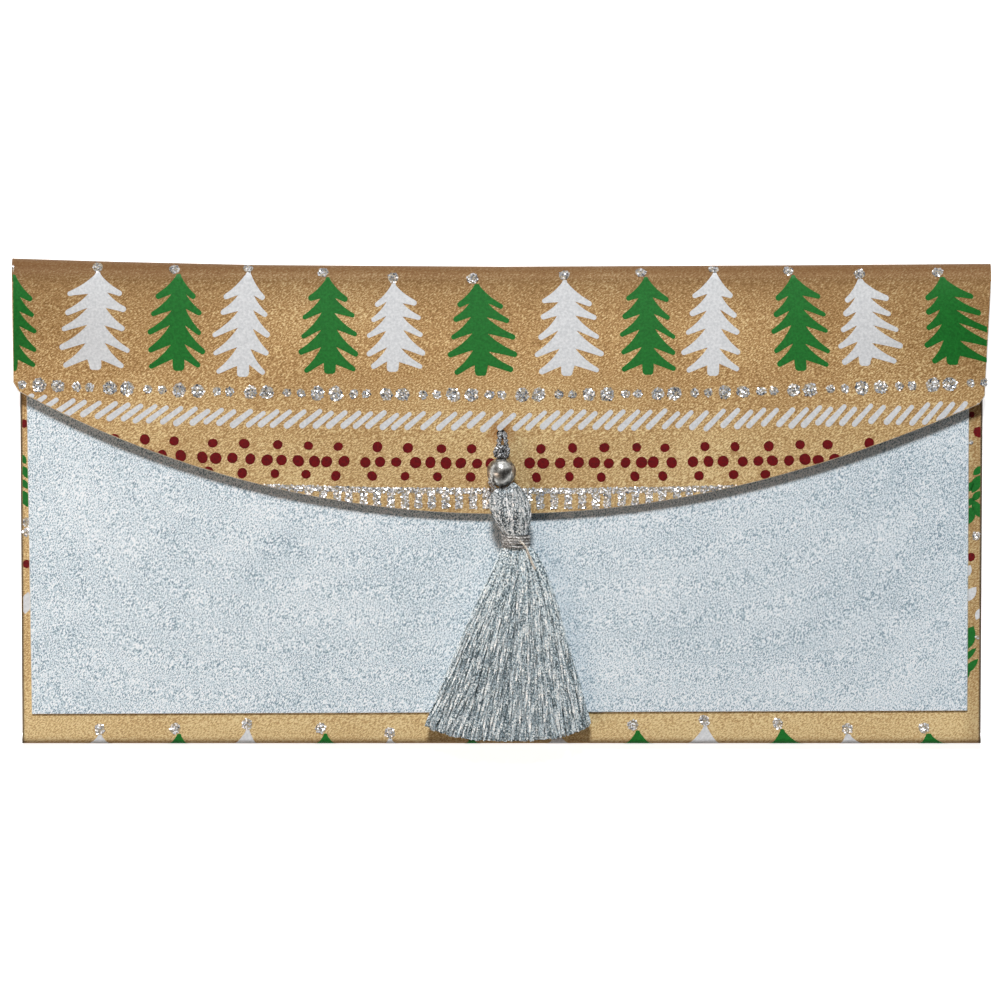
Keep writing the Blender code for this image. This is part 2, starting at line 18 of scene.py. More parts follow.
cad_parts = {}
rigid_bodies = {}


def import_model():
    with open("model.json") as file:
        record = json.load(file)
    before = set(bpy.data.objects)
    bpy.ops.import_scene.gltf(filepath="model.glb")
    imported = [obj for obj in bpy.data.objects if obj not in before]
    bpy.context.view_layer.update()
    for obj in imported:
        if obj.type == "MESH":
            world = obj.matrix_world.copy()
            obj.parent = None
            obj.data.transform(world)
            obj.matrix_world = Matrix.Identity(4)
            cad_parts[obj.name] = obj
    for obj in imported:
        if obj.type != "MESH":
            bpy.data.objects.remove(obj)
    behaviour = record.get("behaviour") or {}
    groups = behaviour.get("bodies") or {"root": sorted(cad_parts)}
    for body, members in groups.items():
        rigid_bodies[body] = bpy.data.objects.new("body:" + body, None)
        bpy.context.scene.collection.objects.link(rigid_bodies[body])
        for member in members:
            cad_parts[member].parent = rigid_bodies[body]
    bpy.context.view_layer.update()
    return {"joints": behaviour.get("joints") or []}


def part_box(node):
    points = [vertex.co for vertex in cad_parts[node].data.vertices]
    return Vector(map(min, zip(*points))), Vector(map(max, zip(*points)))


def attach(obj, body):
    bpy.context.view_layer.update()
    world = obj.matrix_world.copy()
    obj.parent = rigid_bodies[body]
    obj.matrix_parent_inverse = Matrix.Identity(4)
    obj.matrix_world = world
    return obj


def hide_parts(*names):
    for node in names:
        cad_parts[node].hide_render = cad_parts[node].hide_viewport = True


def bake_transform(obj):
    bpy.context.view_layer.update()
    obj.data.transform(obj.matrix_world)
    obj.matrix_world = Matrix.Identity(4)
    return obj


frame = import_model()
MM = 0.001
joints = {joint["name"]: joint for joint in frame["joints"]}
hole = Vector(joints["tassel_swing"]["pos_m"]) / MM

# %% [markdown]
# ## The camera
#
# The photograph looks straight down on the envelope. A long lens from far away keeps the flap and
# the body, which lie at different heights, at the same scale, as such product pictures do.

# %% Camera
PICTURE_WIDTH = 207.4
PICTURE_CENTRE = (-0.3, 0.8)
PAPER_HEIGHT = 5
CAMERA_HEIGHT = 2400
PICTURE_PIXELS = 1000

lens = bpy.data.cameras.new("camera")
lens.lens = lens.sensor_width * (CAMERA_HEIGHT - PAPER_HEIGHT) / PICTURE_WIDTH
camera = bpy.data.objects.new("camera", lens)
camera.location = Vector((*PICTURE_CENTRE, CAMERA_HEIGHT)) * MM
bpy.context.scene.collection.objects.link(camera)
bpy.context.scene.camera = camera
bpy.context.scene.view_settings.view_transform = "Standard"
print(f"camera: {lens.lens:.0f} mm lens from {CAMERA_HEIGHT * MM:.1f} m")


def across(column):
    """X of a column of the photograph, on the paper."""
    return (column - PICTURE_PIXELS / 2) * PICTURE_WIDTH / PICTURE_PIXELS + PICTURE_CENTRE[0]


def up(row):
    """Y of a row of the photograph, on the paper."""
    return (PICTURE_PIXELS / 2 - row) * PICTURE_WIDTH / PICTURE_PIXELS + PICTURE_CENTRE[1]


# %% [markdown]
# ## Sums with sockets
#
# A finish is a small tree of nodes. Wiring it by hand hides what it computes, so one class wraps a
# socket and lets Python's own operators add the Math nodes. One method makes every other node:
# settings first, then the values or links of its sockets.

# %% Wires that take part in sums
class Wire:
    """An output socket that takes part in sums."""

    def __init__(self, finish, socket):
        self.finish, self.socket = finish, socket

    def sum(self, operation, first, second):
        return self.finish.add("Math", {"operation": operation}, {0: first, 1: second})

    def __add__(self, other):
        return self.sum("ADD", self, other)

    def __radd__(self, other):
        return self.sum("ADD", other, self)

    def __sub__(self, other):
        return self.sum("SUBTRACT", self, other)

    def __rsub__(self, other):
        return self.sum("SUBTRACT", other, self)

    def __mul__(self, other):
        return self.sum("MULTIPLY", self, other)

    def __rmul__(self, other):
        return self.sum("MULTIPLY", other, self)

    def __abs__(self):
        return self.finish.add("Math", {"operation": "ABSOLUTE"}, {0: self})


print("wires: sums, differences, products and sizes without a sign")

# %% [markdown]
# A tree is fed in two ways: a plain value is set on the socket itself, and a wire is linked to it.
# Colours are written as a screen shows them, from 0 to 255, which is easier to picture than the
# linear ones that a shader wants, and one function turns them into these.

# %% A tree of nodes
class Finish:
    """A node tree that is built node by node."""

    def __init__(self, tree):
        self.tree = tree

    def add(self, kind, settings, values, out=0):
        node = self.tree.nodes.new("ShaderNode" + kind)
        for name, value in settings.items():
            if name == "stops":
                self.set_stops(node.color_ramp, value)
            else:
                setattr(node, name, value)
        self.feed(node, values)
        return Wire(self, node.outputs[out])

    def set_stops(self, ramp, stops):
        while len(ramp.elements) < len(stops):
            ramp.elements.new(1)
        for element, (place, colour) in zip(ramp.elements, stops):
            element.position = place
            element.color = colour

    def feed(self, node, values):
        for name, value in values.items():
            if isinstance(value, Wire):
                self.tree.links.new(value.socket, node.inputs[name])
            else:
                node.inputs[name].default_value = value


SCREEN_TOE, TOE_SLOPE, SCREEN_LIFT, SCREEN_POWER = 0.04045, 12.92, 0.055, 2.4


def linear(value):
    """One channel of a screen's colour, from 0 to 255, as a shader wants it."""
    share = value / 255
    if share < SCREEN_TOE:
        return share / TOE_SLOPE
    return ((share + SCREEN_LIFT) / (1 + SCREEN_LIFT)) ** SCREEN_POWER


def seen(red, green, blue):
    """A colour as the eye sees it on a screen, as the linear one of a shader."""
    return linear(red), linear(green), linear(blue), 1


print(f"colours: a middle grey of 128 is {linear(128):.3f} in a shader")

# %% [markdown]
# Every finish here is a paper, an ink, a thread or a metal. They share two wants: a pattern at a
# real size in millimetres, turned if its grain lies aslant, and a bump of a real height. A Mix node
# uses the same socket names for numbers, vectors and colours, so its colour sockets are numbered.

# %% Patterns at a real size
MIX_SHARE, MIX_FIRST, MIX_SECOND, MIX_COLOUR = 0, 6, 7, 2


class Surface(Finish):
    """A material for one of the envelope's papers, inks, threads or metals."""

    def __init__(self, name, metallic=0):
        self.material = bpy.data.materials.new(name)
        self.material.use_nodes = True
        super().__init__(self.material.node_tree)
        self.shader = self.tree.nodes["Principled BSDF"]
        self.shade({"Metallic": metallic})

    def shade(self, values):
        """Feeds values or wires to the shader."""
        self.feed(self.shader, values)

    def here(self):
        """The place of the point that is shaded, in metres."""
        return self.add("TexCoord", {}, {}, "Object")

    def grain(self, length, width=None, degrees=0, detail=2.0, rough=0.5):
        """Noise whose grains have a real length and width, and lie at an angle."""
        size = (length * MM, (width or length) * MM, length * MM)
        turned = (0, 0, math.radians(degrees))
        at = self.add(
            "Mapping", {"vector_type": "TEXTURE"},
            {"Vector": self.here(), "Rotation": turned, "Scale": size},
        )
        values = {"Vector": at, "Scale": 1.0, "Detail": detail, "Roughness": rough}
        return self.add("TexNoise", {}, values)

    def island(self):
        """A number that differs from one separate thread or flake to the next."""
        return self.add("NewGeometry", {}, {}, "Random Per Island")

    def ramp(self, value, *stops):
        """A colour that follows a value from stop to stop. A stop is a place and a colour."""
        return self.add("ValToRGB", {"stops": stops}, {"Fac": value})

    def mix(self, share, first, second):
        """The first colour with a share of the second."""
        values = {MIX_SHARE: share, MIX_FIRST: first, MIX_SECOND: second}
        return self.add("Mix", {"data_type": "RGBA"}, values, MIX_COLOUR)

    def paint(self, colour):
        self.shade({"Base Color": colour})

    def relief(self, height, depth):
        """A bump whose height runs from 0 to 1 over a real depth in millimetres."""
        bump = self.add("Bump", {}, {"Height": height, "Distance": depth * MM}, "Normal")
        self.shade({"Normal": bump})


print("finishes can be built")

# %% [markdown]
# ## The studio
#
# The world lights the envelope weakly from all sides. A brighter one would wash out the shadow of
# the flap, so it is white only for the camera, and for glossy papers up to the height at which a
# real backdrop ends. Above it they mirror a dark ceiling.

# %% World
WORLD_LEVEL = 0.07
BACKDROP_TOP, CEILING_START = 0.25, 0.6
WHITE, BLACK = (1, 1, 1, 1), (0, 0, 0, 1)


def seen_ray(finish):
    """1 for the camera's rays, and 1 for those by which gloss or glass sees the background."""
    camera_ray, glossy_ray, glass_ray = [
        finish.add("LightPath", {}, {}, f"Is {kind} Ray")
        for kind in ("Camera", "Glossy", "Transmission")
    ]
    return camera_ray, glossy_ray + glass_ray


studio = bpy.data.worlds.new("studio")
studio.use_nodes = True
bpy.context.scene.world = studio
sky = Finish(studio.node_tree)
camera_ray, gloss_ray = seen_ray(sky)
heading = sky.add("TexCoord", {}, {}, "Generated")
height = sky.add("SeparateXYZ", {}, {0: heading}, "Z")
backdrop = sky.add(
    "ValToRGB", {"stops": ((BACKDROP_TOP, WHITE), (CEILING_START, BLACK))}, {"Fac": height}
)
white_share = camera_ray + gloss_ray * backdrop
sky.feed(
    sky.tree.nodes["Background"],
    {"Color": WHITE, "Strength": WORLD_LEVEL + white_share * (1 - WORLD_LEVEL)},
)
print("world: level", WORLD_LEVEL)

# %% [markdown]
# The flap throws a shadow down the picture, so the key light stands high up beyond the top edge. It
# is a box and not a lamp with a bare bulb, because the shadow has a soft edge. A weak warm box at
# the left keeps the sides from going dark and the shadows from turning blue.

# %% Lights
WARM = (1, 0.78, 0.62)


def soft_box(name, place, size, power, colour=(1, 1, 1)):
    """A square area light that faces the envelope, in metres and watts."""
    light = bpy.data.lights.new(name, "AREA")
    light.size = size
    light.energy = power
    light.color = colour
    lamp = bpy.data.objects.new(name, light)
    lamp.location = place
    lamp.rotation_euler = (-Vector(place)).to_track_quat("-Z", "Y").to_euler()
    bpy.context.scene.collection.objects.link(lamp)


soft_box("fill_box", place=(-0.9, -0.4, 0.9), size=0.8, power=5.6, colour=WARM)
soft_box("key_box", place=(-0.12, 2.33, 2.42), size=0.6, power=142)
print("lights: a key box and a fill box")

# %% [markdown]
# The floor is a plain pale sheet under the envelope. To the camera it glows white by itself, so no
# more light is needed for it, and it still takes the envelope's shadow.

# %% Floor
FLOOR_HALF, FLOOR_GAP = 6.0, 0.0002
FLOOR_CORNERS = ((-1, -1), (1, -1), (1, 1), (-1, 1))
FLOOR_CLOUD, FLOOR_TONES = 900, ((0.3, seen(236, 236, 236)), (0.7, seen(240, 240, 240)))
FLOOR_GLOW, FLOOR_ROUGH = 0.8, 0.9

floor_mesh = bpy.data.meshes.new("floor")
floor_points = [(x * FLOOR_HALF, y * FLOOR_HALF, -FLOOR_GAP) for x, y in FLOOR_CORNERS]
floor_mesh.from_pydata(floor_points, [], [(0, 1, 2, 3)])
floor = bpy.data.objects.new("floor", floor_mesh)
bpy.context.scene.collection.objects.link(floor)
pale = Surface("pale_floor")
pale.paint(pale.ramp(pale.grain(FLOOR_CLOUD, detail=1), *FLOOR_TONES))
camera_ray, gloss_ray = seen_ray(pale)
pale.shade({
    "Roughness": FLOOR_ROUGH, "Specular IOR Level": 0,
    "Emission Color": camera_ray + gloss_ray, "Emission Strength": FLOOR_GLOW,
})
floor_mesh.materials.append(pale.material)
print(f"floor: {2 * FLOOR_HALF:.0f} m square")

# %% [markdown]
# ## Papers
#
# The gold paper is a thick white sheet with an embossed metal film on its outer side. Its grain is
# short slanting flecks. The film is bright and smooth on the flecks and dull between them, so the
# same noise steers colour, roughness and height. The brightest tone on the flecks is partly the
# film's own and partly a painted highlight. A picture of such paper would do the same, but its
# grain would be stretched wherever the sheet is folded.

# %% Grain and tones of the gold film
FLECK, FLECK_WIDTH, FLECK_ANGLE, FLECK_ROUGH = 0.48, 0.24, 32, 0.6
FLECK_SHARE, EMBOSS = 0.85, 0.013
DRIFT, DRIFT_WIDTH, DRIFT_ANGLE = 26, 18, 10
# The top stop is partly a painted highlight on the flecks.
GOLD_TONES = (
    (0.34, seen(122, 90, 52)), (0.49, seen(163, 128, 83)), (0.58, seen(193, 162, 113)),
    (0.65, seen(226, 206, 158)),
)
GOLD_ROUGH, GOLD_SHINE = 0.72, 0.35
GOLD_METAL, GOLD_SPECULAR = 0.26, 0.2


def flecks_of(surface):
    """The emboss of the gold paper, which also shows through the inks."""
    return surface.grain(FLECK, FLECK_WIDTH, FLECK_ANGLE, rough=FLECK_ROUGH)


def place_along(surface, axis):
    """How far the shaded point lies along an axis, in metres."""
    return surface.add("SeparateXYZ", {}, {0: surface.here()}, axis)


def share_along(surface, start, end, along=None):
    """0 at a place in millimetres, 1 at another, and even between, along Y or along a wire."""
    along = along or place_along(surface, "Y")
    places = {"Value": along, "From Min": start * MM, "From Max": end * MM}
    return surface.add("MapRange", {}, places)


print(f"gold film: flecks {FLECK} mm long at {FLECK_ANGLE} degrees")

# %% [markdown]
# Light and shade are painted into the film. It is painted browner and darker towards the roll at
# the top, most of all at the roll's top, and there and at the bottom fold it is also rougher and
# less metallic. Painted shade darkens the bottom fold, the right border, the side folds and a ring
# round the hole. Low down on the flap and on the body a painted light makes it paler. Each mark
# fades in between two places, and mixes one more colour into the film.

# %% Painted shade and light on the gold film
# Painted light: the film is paler low down on the flap and on the body.
PAINTED_LIGHT_GOLD, PAINTED_LIGHT, PAINTED_LIGHT_LIFT = seen(208, 187, 139), 0.08, 0.04
LIT_EDGE_PLACE, EDGE_LIGHT = (27, 10), 1.4
LIT_BOTTOM_PLACE, BOTTOM_LIGHT = (-36, -46), 1.2
# Painted shade round the hole, where the paper dips.
HOLE_SHADE_GOLD, HOLE_SHADE_PLACE, HOLE_SHADE = seen(140, 84, 34), (3.4, 1.2), 0.6
# Painted shade: browner towards the roll, darker still at its top, and darker at the bottom fold.
SHADE_GOLD, ROLL_SHADE_PLACE, FOLDS_SHADE = seen(100, 72, 40), (30, 49), 0.75
BOTTOM_FOLD_SHADE_PLACE, BOTTOM_FOLD_SHADE = (-48.3, -49.4), 0.8
ROLL_TOP_SHADE_GOLD, ROLL_TOP_SHADE_PLACE, ROLL_TOP_SHADE = seen(84, 48, 14), (45.2, 49.2), 0.5
# Painted shade on the right border and along the side folds.
BORDER_SHADE_PLACE, BORDER_SHADE = (95, 98), 0.3
SIDE_FOLD_SHADE_GOLD, SIDE_FOLD_SHADE_PLACE, SIDE_FOLD_SHADE = seen(58, 50, 46), (99.35, 99.7), 0.85
SHEET_NARROWING, NARROW_PLACE = 0.44, (20, -50)
FOLDS_ROUGH, FOLDS_METAL = 0.1, 0.16


def paint_side_shade(gold, film):
    """The film's colour with painted shade on its right border and along the side folds."""
    sideways = place_along(gold, "X")
    aside = abs(sideways) + share_along(gold, *NARROW_PLACE) * (SHEET_NARROWING * MM)
    film = gold.mix(share_along(gold, *BORDER_SHADE_PLACE, sideways) * BORDER_SHADE, film, SHADE_GOLD)
    return gold.mix(share_along(gold, *SIDE_FOLD_SHADE_PLACE, aside) * SIDE_FOLD_SHADE, film, SIDE_FOLD_SHADE_GOLD)


# The darkening of the side folds is a painted shade.
print(f"wear: the side folds darken from {SIDE_FOLD_SHADE_PLACE[0]} mm out")

# %% [markdown]
# Both the flap and the body need the film, and only the body has side folds. So one function
# builds it: first the level, which is the noise of the flecks with a slow drift, then the painted
# light and shade one over the other, and last how rough, metallic and embossed the film is.

# %% Gold paper
def gold_finish(name, folded_sides=False):
    """Embossed gold film on a sheet, with the painted shade of its folded sides or without it."""
    gold = Surface(name)
    flecks, drift = flecks_of(gold), gold.grain(DRIFT, DRIFT_WIDTH, DRIFT_ANGLE)
    # Painted light, which makes the film paler low down on the flap and on the body.
    painted_light_share = share_along(gold, *LIT_EDGE_PLACE) * EDGE_LIGHT
    painted_light_share = painted_light_share + share_along(gold, *LIT_BOTTOM_PLACE) * BOTTOM_LIGHT
    level = flecks * FLECK_SHARE + drift * (1 - FLECK_SHARE) + painted_light_share * PAINTED_LIGHT_LIFT
    # Painted shade towards the roll and at the bottom fold.
    folds_shade = share_along(gold, *ROLL_SHADE_PLACE)
    folds_shade = folds_shade * folds_shade + share_along(gold, *BOTTOM_FOLD_SHADE_PLACE) * BOTTOM_FOLD_SHADE
    from_hole = gold.add(
        "VectorMath", {"operation": "DISTANCE"}, {0: gold.here(), 1: tuple(hole * MM)}, "Value"
    )
    film = gold.mix(painted_light_share * PAINTED_LIGHT, gold.ramp(level, *GOLD_TONES), PAINTED_LIGHT_GOLD)
    # Painted shade round the hole.
    film = gold.mix(share_along(gold, *HOLE_SHADE_PLACE, from_hole) * HOLE_SHADE, film, HOLE_SHADE_GOLD)
    # Painted shade towards the roll, and darker painted shade at the roll's top.
    film = gold.mix(folds_shade * FOLDS_SHADE, film, SHADE_GOLD)
    film = gold.mix(share_along(gold, *ROLL_TOP_SHADE_PLACE) * ROLL_TOP_SHADE, film, ROLL_TOP_SHADE_GOLD)
    # On the body, painted shade on the right border and along the side folds.
    gold.paint(paint_side_shade(gold, film) if folded_sides else film)
    gold.shade({
        "Roughness": GOLD_ROUGH - level * GOLD_SHINE + folds_shade * FOLDS_ROUGH,
        "Metallic": GOLD_METAL - folds_shade * FOLDS_METAL, "Specular IOR Level": GOLD_SPECULAR,
    })
    gold.relief(flecks, EMBOSS)
    return gold


gold_paper = gold_finish("gold_paper")
gold_body_paper = gold_finish("gold_body_paper", folded_sides=True)
print("gold papers:", len(gold_body_paper.tree.nodes), "nodes in the fuller one")

# %% [markdown]
# The inner side and the cut edges of the sheet show its white core. That is plain uncoated paper,
# so it has fine fibres in its colour and height, and no shine.

# %% White side of the gold paper
FIBRE, FIBRE_WIDTH, FIBRE_ANGLE, FIBRE_RISE = 0.9, 0.12, 20, 0.02
CORE_TONES, CORE_ROUGH = ((0.3, seen(206, 199, 186)), (0.7, seen(238, 233, 224))), 0.75
white_core = Surface("white_paper_core")
fibres = white_core.grain(FIBRE, FIBRE_WIDTH, FIBRE_ANGLE, detail=3)
white_core.paint(white_core.ramp(fibres, *CORE_TONES))
white_core.shade({"Roughness": CORE_ROUGH})
white_core.relief(fibres, FIBRE_RISE)
print(f"white core: fibres {FIBRE} mm long")

# %% [markdown]
# The silver paper is a card with a crystalline film. Its grain is a little finer than the gold's
# and steeper, and it stands out more from the card. Most of it is pale, with darker specks, so the
# middle stop of the ramp is already light. A painted shade darkens it slightly towards the right.

# %% Silver paper
SPARKLE, SPARKLE_WIDTH, SPARKLE_ANGLE, SPARKLE_ROUGH = 0.37, 0.22, 58, 0.6
SPARKLE_SHARE, SPARKLE_RISE = 0.9, 0.03
BLOTCH, BLOTCH_WIDTH, BLOTCH_ANGLE = 18, 11, 25
CARD_TONES = (
    (0.4, seen(110, 131, 146)), (0.488, seen(193, 211, 221)), (0.58, seen(232, 235, 238)),
)
# Painted shade towards the right of the card.
SHADED_SILVER, SHADED_PLACE, SHADE = seen(120, 136, 150), (-15, 75), 0.13
CARD_METAL = 0.12
CARD_ROUGH, CARD_SHINE, CARD_SPECULAR = 0.75, 0.3, 0.25
silver_paper = Surface("silver_paper", CARD_METAL)
sparkle = silver_paper.grain(SPARKLE, SPARKLE_WIDTH, SPARKLE_ANGLE, rough=SPARKLE_ROUGH)
blotch = silver_paper.grain(BLOTCH, BLOTCH_WIDTH, BLOTCH_ANGLE, detail=3)
silver_level = sparkle * SPARKLE_SHARE + blotch * (1 - SPARKLE_SHARE)
shaded = share_along(silver_paper, *SHADED_PLACE, place_along(silver_paper, "X"))
silver_film = silver_paper.ramp(silver_level, *CARD_TONES)
silver_paper.paint(silver_paper.mix(shaded * SHADE, silver_film, SHADED_SILVER))
silver_paper.shade({
    "Roughness": CARD_ROUGH - silver_level * CARD_SHINE, "Specular IOR Level": CARD_SPECULAR,
})
silver_paper.relief(sparkle, SPARKLE_RISE)
print(f"silver paper: specks {SPARKLE} mm long at {SPARKLE_ANGLE} degrees")

# %% [markdown]
# ## Making a piece
#
# Every shape is worked out in millimetres in a bmesh. One function turns it into an object in
# metres, gives it its finishes, and ties it to the body that carries it.

# %% A piece from a mesh
SMOOTH_ANGLE = 35


def piece(name, made, finishes, body=None, stands_for=()):
    """A scene object from a bmesh in millimetres. A piece without a body is tied to none."""
    bmesh.ops.recalc_face_normals(made, faces=made.faces)
    bmesh.ops.scale(made, vec=(MM, MM, MM), verts=made.verts)
    mesh = bpy.data.meshes.new(name)
    made.to_mesh(mesh)
    made.free()
    for finish in finishes:
        mesh.materials.append(finish.material)
    mesh.shade_smooth()
    mesh.set_sharp_from_angle(angle=math.radians(SMOOTH_ANGLE))
    thing = bpy.data.objects.new(name, mesh)
    bpy.context.scene.collection.objects.link(thing)
    if body:
        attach(thing, body)
    if stands_for:
        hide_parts(*stands_for)
    return thing


def even_steps(low, high, count):
    return [low + (high - low) * step / count for step in range(count + 1)]


def smooth_step(share):
    share = min(1, max(0, share))
    return share * share * (3 - 2 * share)


print(f"pieces: bends over {SMOOTH_ANGLE} degrees stay sharp")

# %% [markdown]
# A field of the folded sheet is a grid of point pairs, one on its gold outer face and one on its
# white inner face. The rim between them shows the white core of the cut edge. The outer face stops
# a little short of the rim, so the cut edge slants, and from above it shows as the fine pale line
# that a real punched edge has.

# %% Sheet of paper
CUT_SLANT = 0.12


def paper(rows):
    """A closed sheet. rows[i][j] is a pair of points, on its outer and its inner face."""
    made = bmesh.new()
    outer, inner = [
        [[made.verts.new(pair[side]) for pair in row] for row in rows] for side in (0, 1)
    ]
    last_row, last_column = len(rows) - 1, len(rows[0]) - 1
    for side, grid in enumerate((outer, inner)):
        for i in range(last_row):
            for j in range(last_column):
                face = made.faces.new(
                    (grid[i][j], grid[i + 1][j], grid[i + 1][j + 1], grid[i][j + 1])
                )
                face.material_index = side
    rim = [(i, 0) for i in range(last_row)]
    rim += [(last_row, j) for j in range(last_column)]
    rim += [(i, last_column) for i in range(last_row, 0, -1)]
    rim += [(0, j) for j in range(last_column, 0, -1)]
    for (a, b), (c, d) in zip(rim, rim[1:] + rim[:1]):
        face = made.faces.new((outer[a][b], outer[c][d], inner[c][d], inner[a][b]))
        face.material_index = 1
    return made


print(f"sheets: cut edges slant by {CUT_SLANT} mm")

# %% [markdown]
# ## The folded body
#
# The ends of the fields are read from the boxes of the solids, and the hinge from its joint. The
# heights of the tabs and the front, and the spring of the pocket, repeat those of the solids. Only
# the silver card lies about 0.3 mm lower than its solid.

# %% Sizes taken from the frame
GOLD_SHEET = 0.35
BOTTOM_FOLD_RADIUS = 0.925


def box_of(node):
    """Lowest and highest corner of a CAD node, in millimetres."""
    low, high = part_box(node)
    return Vector(low) / MM, Vector(high) / MM


front_low, front_high = box_of("front_panel")
_, silver_high = box_of("silver_panel")
flap_low, _ = box_of("flap")
_, fold_high = box_of("top_fold")
tab_low, _ = box_of("left_glue_tab")
_, HINGE_Y, HINGE_Z = Vector(joints["flap_hinge"]["pos_m"]) / MM
BODY_HALF = -tab_low.x
BOTTOM_FOLD_Y = front_low.y + BOTTOM_FOLD_RADIUS
MOUTH_Y = front_high.y
FOLD_RADIUS = HINGE_Z
print(f"body: {2 * BODY_HALF:.1f} mm wide, mouth at {MOUTH_Y:.2f}, hinge at {HINGE_Y:.2f}")

# %% [markdown]
# A folded pocket never closes flat: it springs up most at the middle of its mouth, and not at all
# at its folds. All layers of the front share one function of the place, so they rise together and
# never cut each other. The real sheet is also cut a hair narrower at the bottom, so one more
# function draws its width in there.

# %% Spring of the pocket
POCKET_SWELL = 3.8
SWELL_POWER = 4
BOTTOM_NARROWING = 0.0045
NARROW_FROM, NARROW_OVER = 20, 70


def swell(x, y):
    """How far the springy pocket stands above its flat state."""
    sideways = 1 - min(1, abs(x / BODY_HALF)) ** SWELL_POWER
    along = min(1, max(0, (y - BOTTOM_FOLD_Y) / (MOUTH_Y - BOTTOM_FOLD_Y)))
    return POCKET_SWELL * sideways * math.sin(math.pi / 2 * along)


def drawn_in(x, y):
    """X of a point of the body's sheets, which are cut narrower at the bottom."""
    return x * (1 - BOTTOM_NARROWING * min(1, max(0, (NARROW_FROM - y) / NARROW_OVER)))


def layer_pair(x, y, low, thickness):
    """Outer and inner point of a layer of the front, which follows the swell."""
    height = low + swell(x, y)
    return (drawn_in(x, y), y, height + thickness), (drawn_in(x, y), y, height)

print(f"pocket: springs up by {POCKET_SWELL} mm")

# %% [markdown]
# The back is the largest field of the sheet, and lies flat on the table. A single rectangle would
# look the same, but the drawn-in sides need points along them, so it is a grid like the others. At
# the bottom it widens to the full sheet, where the side folds end.

# %% Back of the envelope
SIDE_FOLD_RADIUS, BACK_LOW = 0.6, 0.03
COLUMNS, ROWS = 60, 28
back_half = BODY_HALF - SIDE_FOLD_RADIUS


def back_pair(x, y):
    """Outer and inner point of the back."""
    if y == BOTTOM_FOLD_Y:
        x *= BODY_HALF / back_half
    return (drawn_in(x, y), y, BACK_LOW), (drawn_in(x, y), y, GOLD_SHEET)


back_rows = [
    [back_pair(x, y) for y in even_steps(BOTTOM_FOLD_Y, HINGE_Y, ROWS)]
    for x in even_steps(-back_half, back_half, COLUMNS)
]
BODY_PAPER = [gold_body_paper, white_core]
piece("gold_back", paper(back_rows), BODY_PAPER, "envelope", ["back_panel"])
print(f"back: {HINGE_Y - BOTTOM_FOLD_Y:.1f} mm high")

# %% [markdown]
# The front is the same sheet, turned up round the bottom fold. Two sheets that meet at a corner
# would show a seam, so each column of points starts at the back, runs round the fold and goes on up
# to the pocket's mouth.

# %% Front of the pocket
FRONT_LOW = 1.5
FOLD_STEPS = 10
front_half = front_high.x


def bottom_fold_point(x, radius, turn):
    """A point of the bottom fold, turned from the back (pi) to the front (2 pi)."""
    y = BOTTOM_FOLD_Y + radius * math.sin(turn)
    return drawn_in(x, BOTTOM_FOLD_Y), y, BOTTOM_FOLD_RADIUS + radius * math.cos(turn)


def front_row(x):
    """One column of the front: round the bottom fold, then up to the pocket's mouth."""
    wide = x * BODY_HALF / front_half
    radii = (BOTTOM_FOLD_RADIUS, BOTTOM_FOLD_RADIUS - GOLD_SHEET)
    row = [
        tuple(bottom_fold_point(wide, radius, turn) for radius in radii)
        for turn in even_steps(math.pi, 2 * math.pi, FOLD_STEPS)[:-1]
    ]
    row.append(layer_pair(wide, BOTTOM_FOLD_Y, FRONT_LOW, GOLD_SHEET))
    row += [
        layer_pair(x, y, FRONT_LOW, GOLD_SHEET)
        for y in even_steps(BOTTOM_FOLD_Y, MOUTH_Y, ROWS)[1:]
    ]
    return row


front_sheet = paper([front_row(x) for x in even_steps(-front_half, front_half, COLUMNS)])
piece("gold_front", front_sheet, BODY_PAPER, "envelope", ["front_panel"])
print(f"front: {MOUTH_Y - BOTTOM_FOLD_Y:.1f} mm high, and {2 * front_half:.1f} mm wide")

# %% [markdown]
# Two tabs are folded in at the sides and glued under the front, which makes the sheet a pocket.
# They show only at their folds and inside the pocket. They narrow towards their free edge, as such
# tabs do, so that their corners don't show. One loop folds both, one for each side.

# %% Side glue tabs
TAB_LOW = 0.85
TAB_WIDTH, TAB_TAPER = 14, 6


def side_fold_pair(side, y, turn):
    """Outer and inner point of a side fold, turned from the back (pi) up to the tab (0)."""
    outward, height = math.sin(turn), math.cos(turn)
    return tuple(
        (drawn_in(side * (back_half + radius * outward), y), y, SIDE_FOLD_RADIUS + radius * height)
        for radius in (SIDE_FOLD_RADIUS, SIDE_FOLD_RADIUS - GOLD_SHEET)
    )


for side, node in ((-1, "left_glue_tab"), (1, "right_glue_tab")):
    low, high = box_of(node)
    rows = []
    for share in even_steps(0, 1, ROWS):
        y = low.y + (high.y - low.y) * share
        row = [side_fold_pair(side, y, turn) for turn in even_steps(math.pi, 0, FOLD_STEPS)[:-1]]
        for inward in even_steps(0, 1, FOLD_STEPS):
            x = side * (back_half - (TAB_WIDTH - SIDE_FOLD_RADIUS) * inward)
            tapered = y + TAB_TAPER * inward * (1 - 2 * share)
            row.append(layer_pair(x, tapered, TAB_LOW, GOLD_SHEET))
        rows.append(row)
    piece("gold_" + node, paper(rows), BODY_PAPER, "envelope", [node])
print(f"tabs: {TAB_WIDTH} mm wide")

# %% [markdown]
# The silver card is glued on by hand and is not quite square to the sheet: its border is a little
# wider at one end than at the other. So its four corners are set one by one.

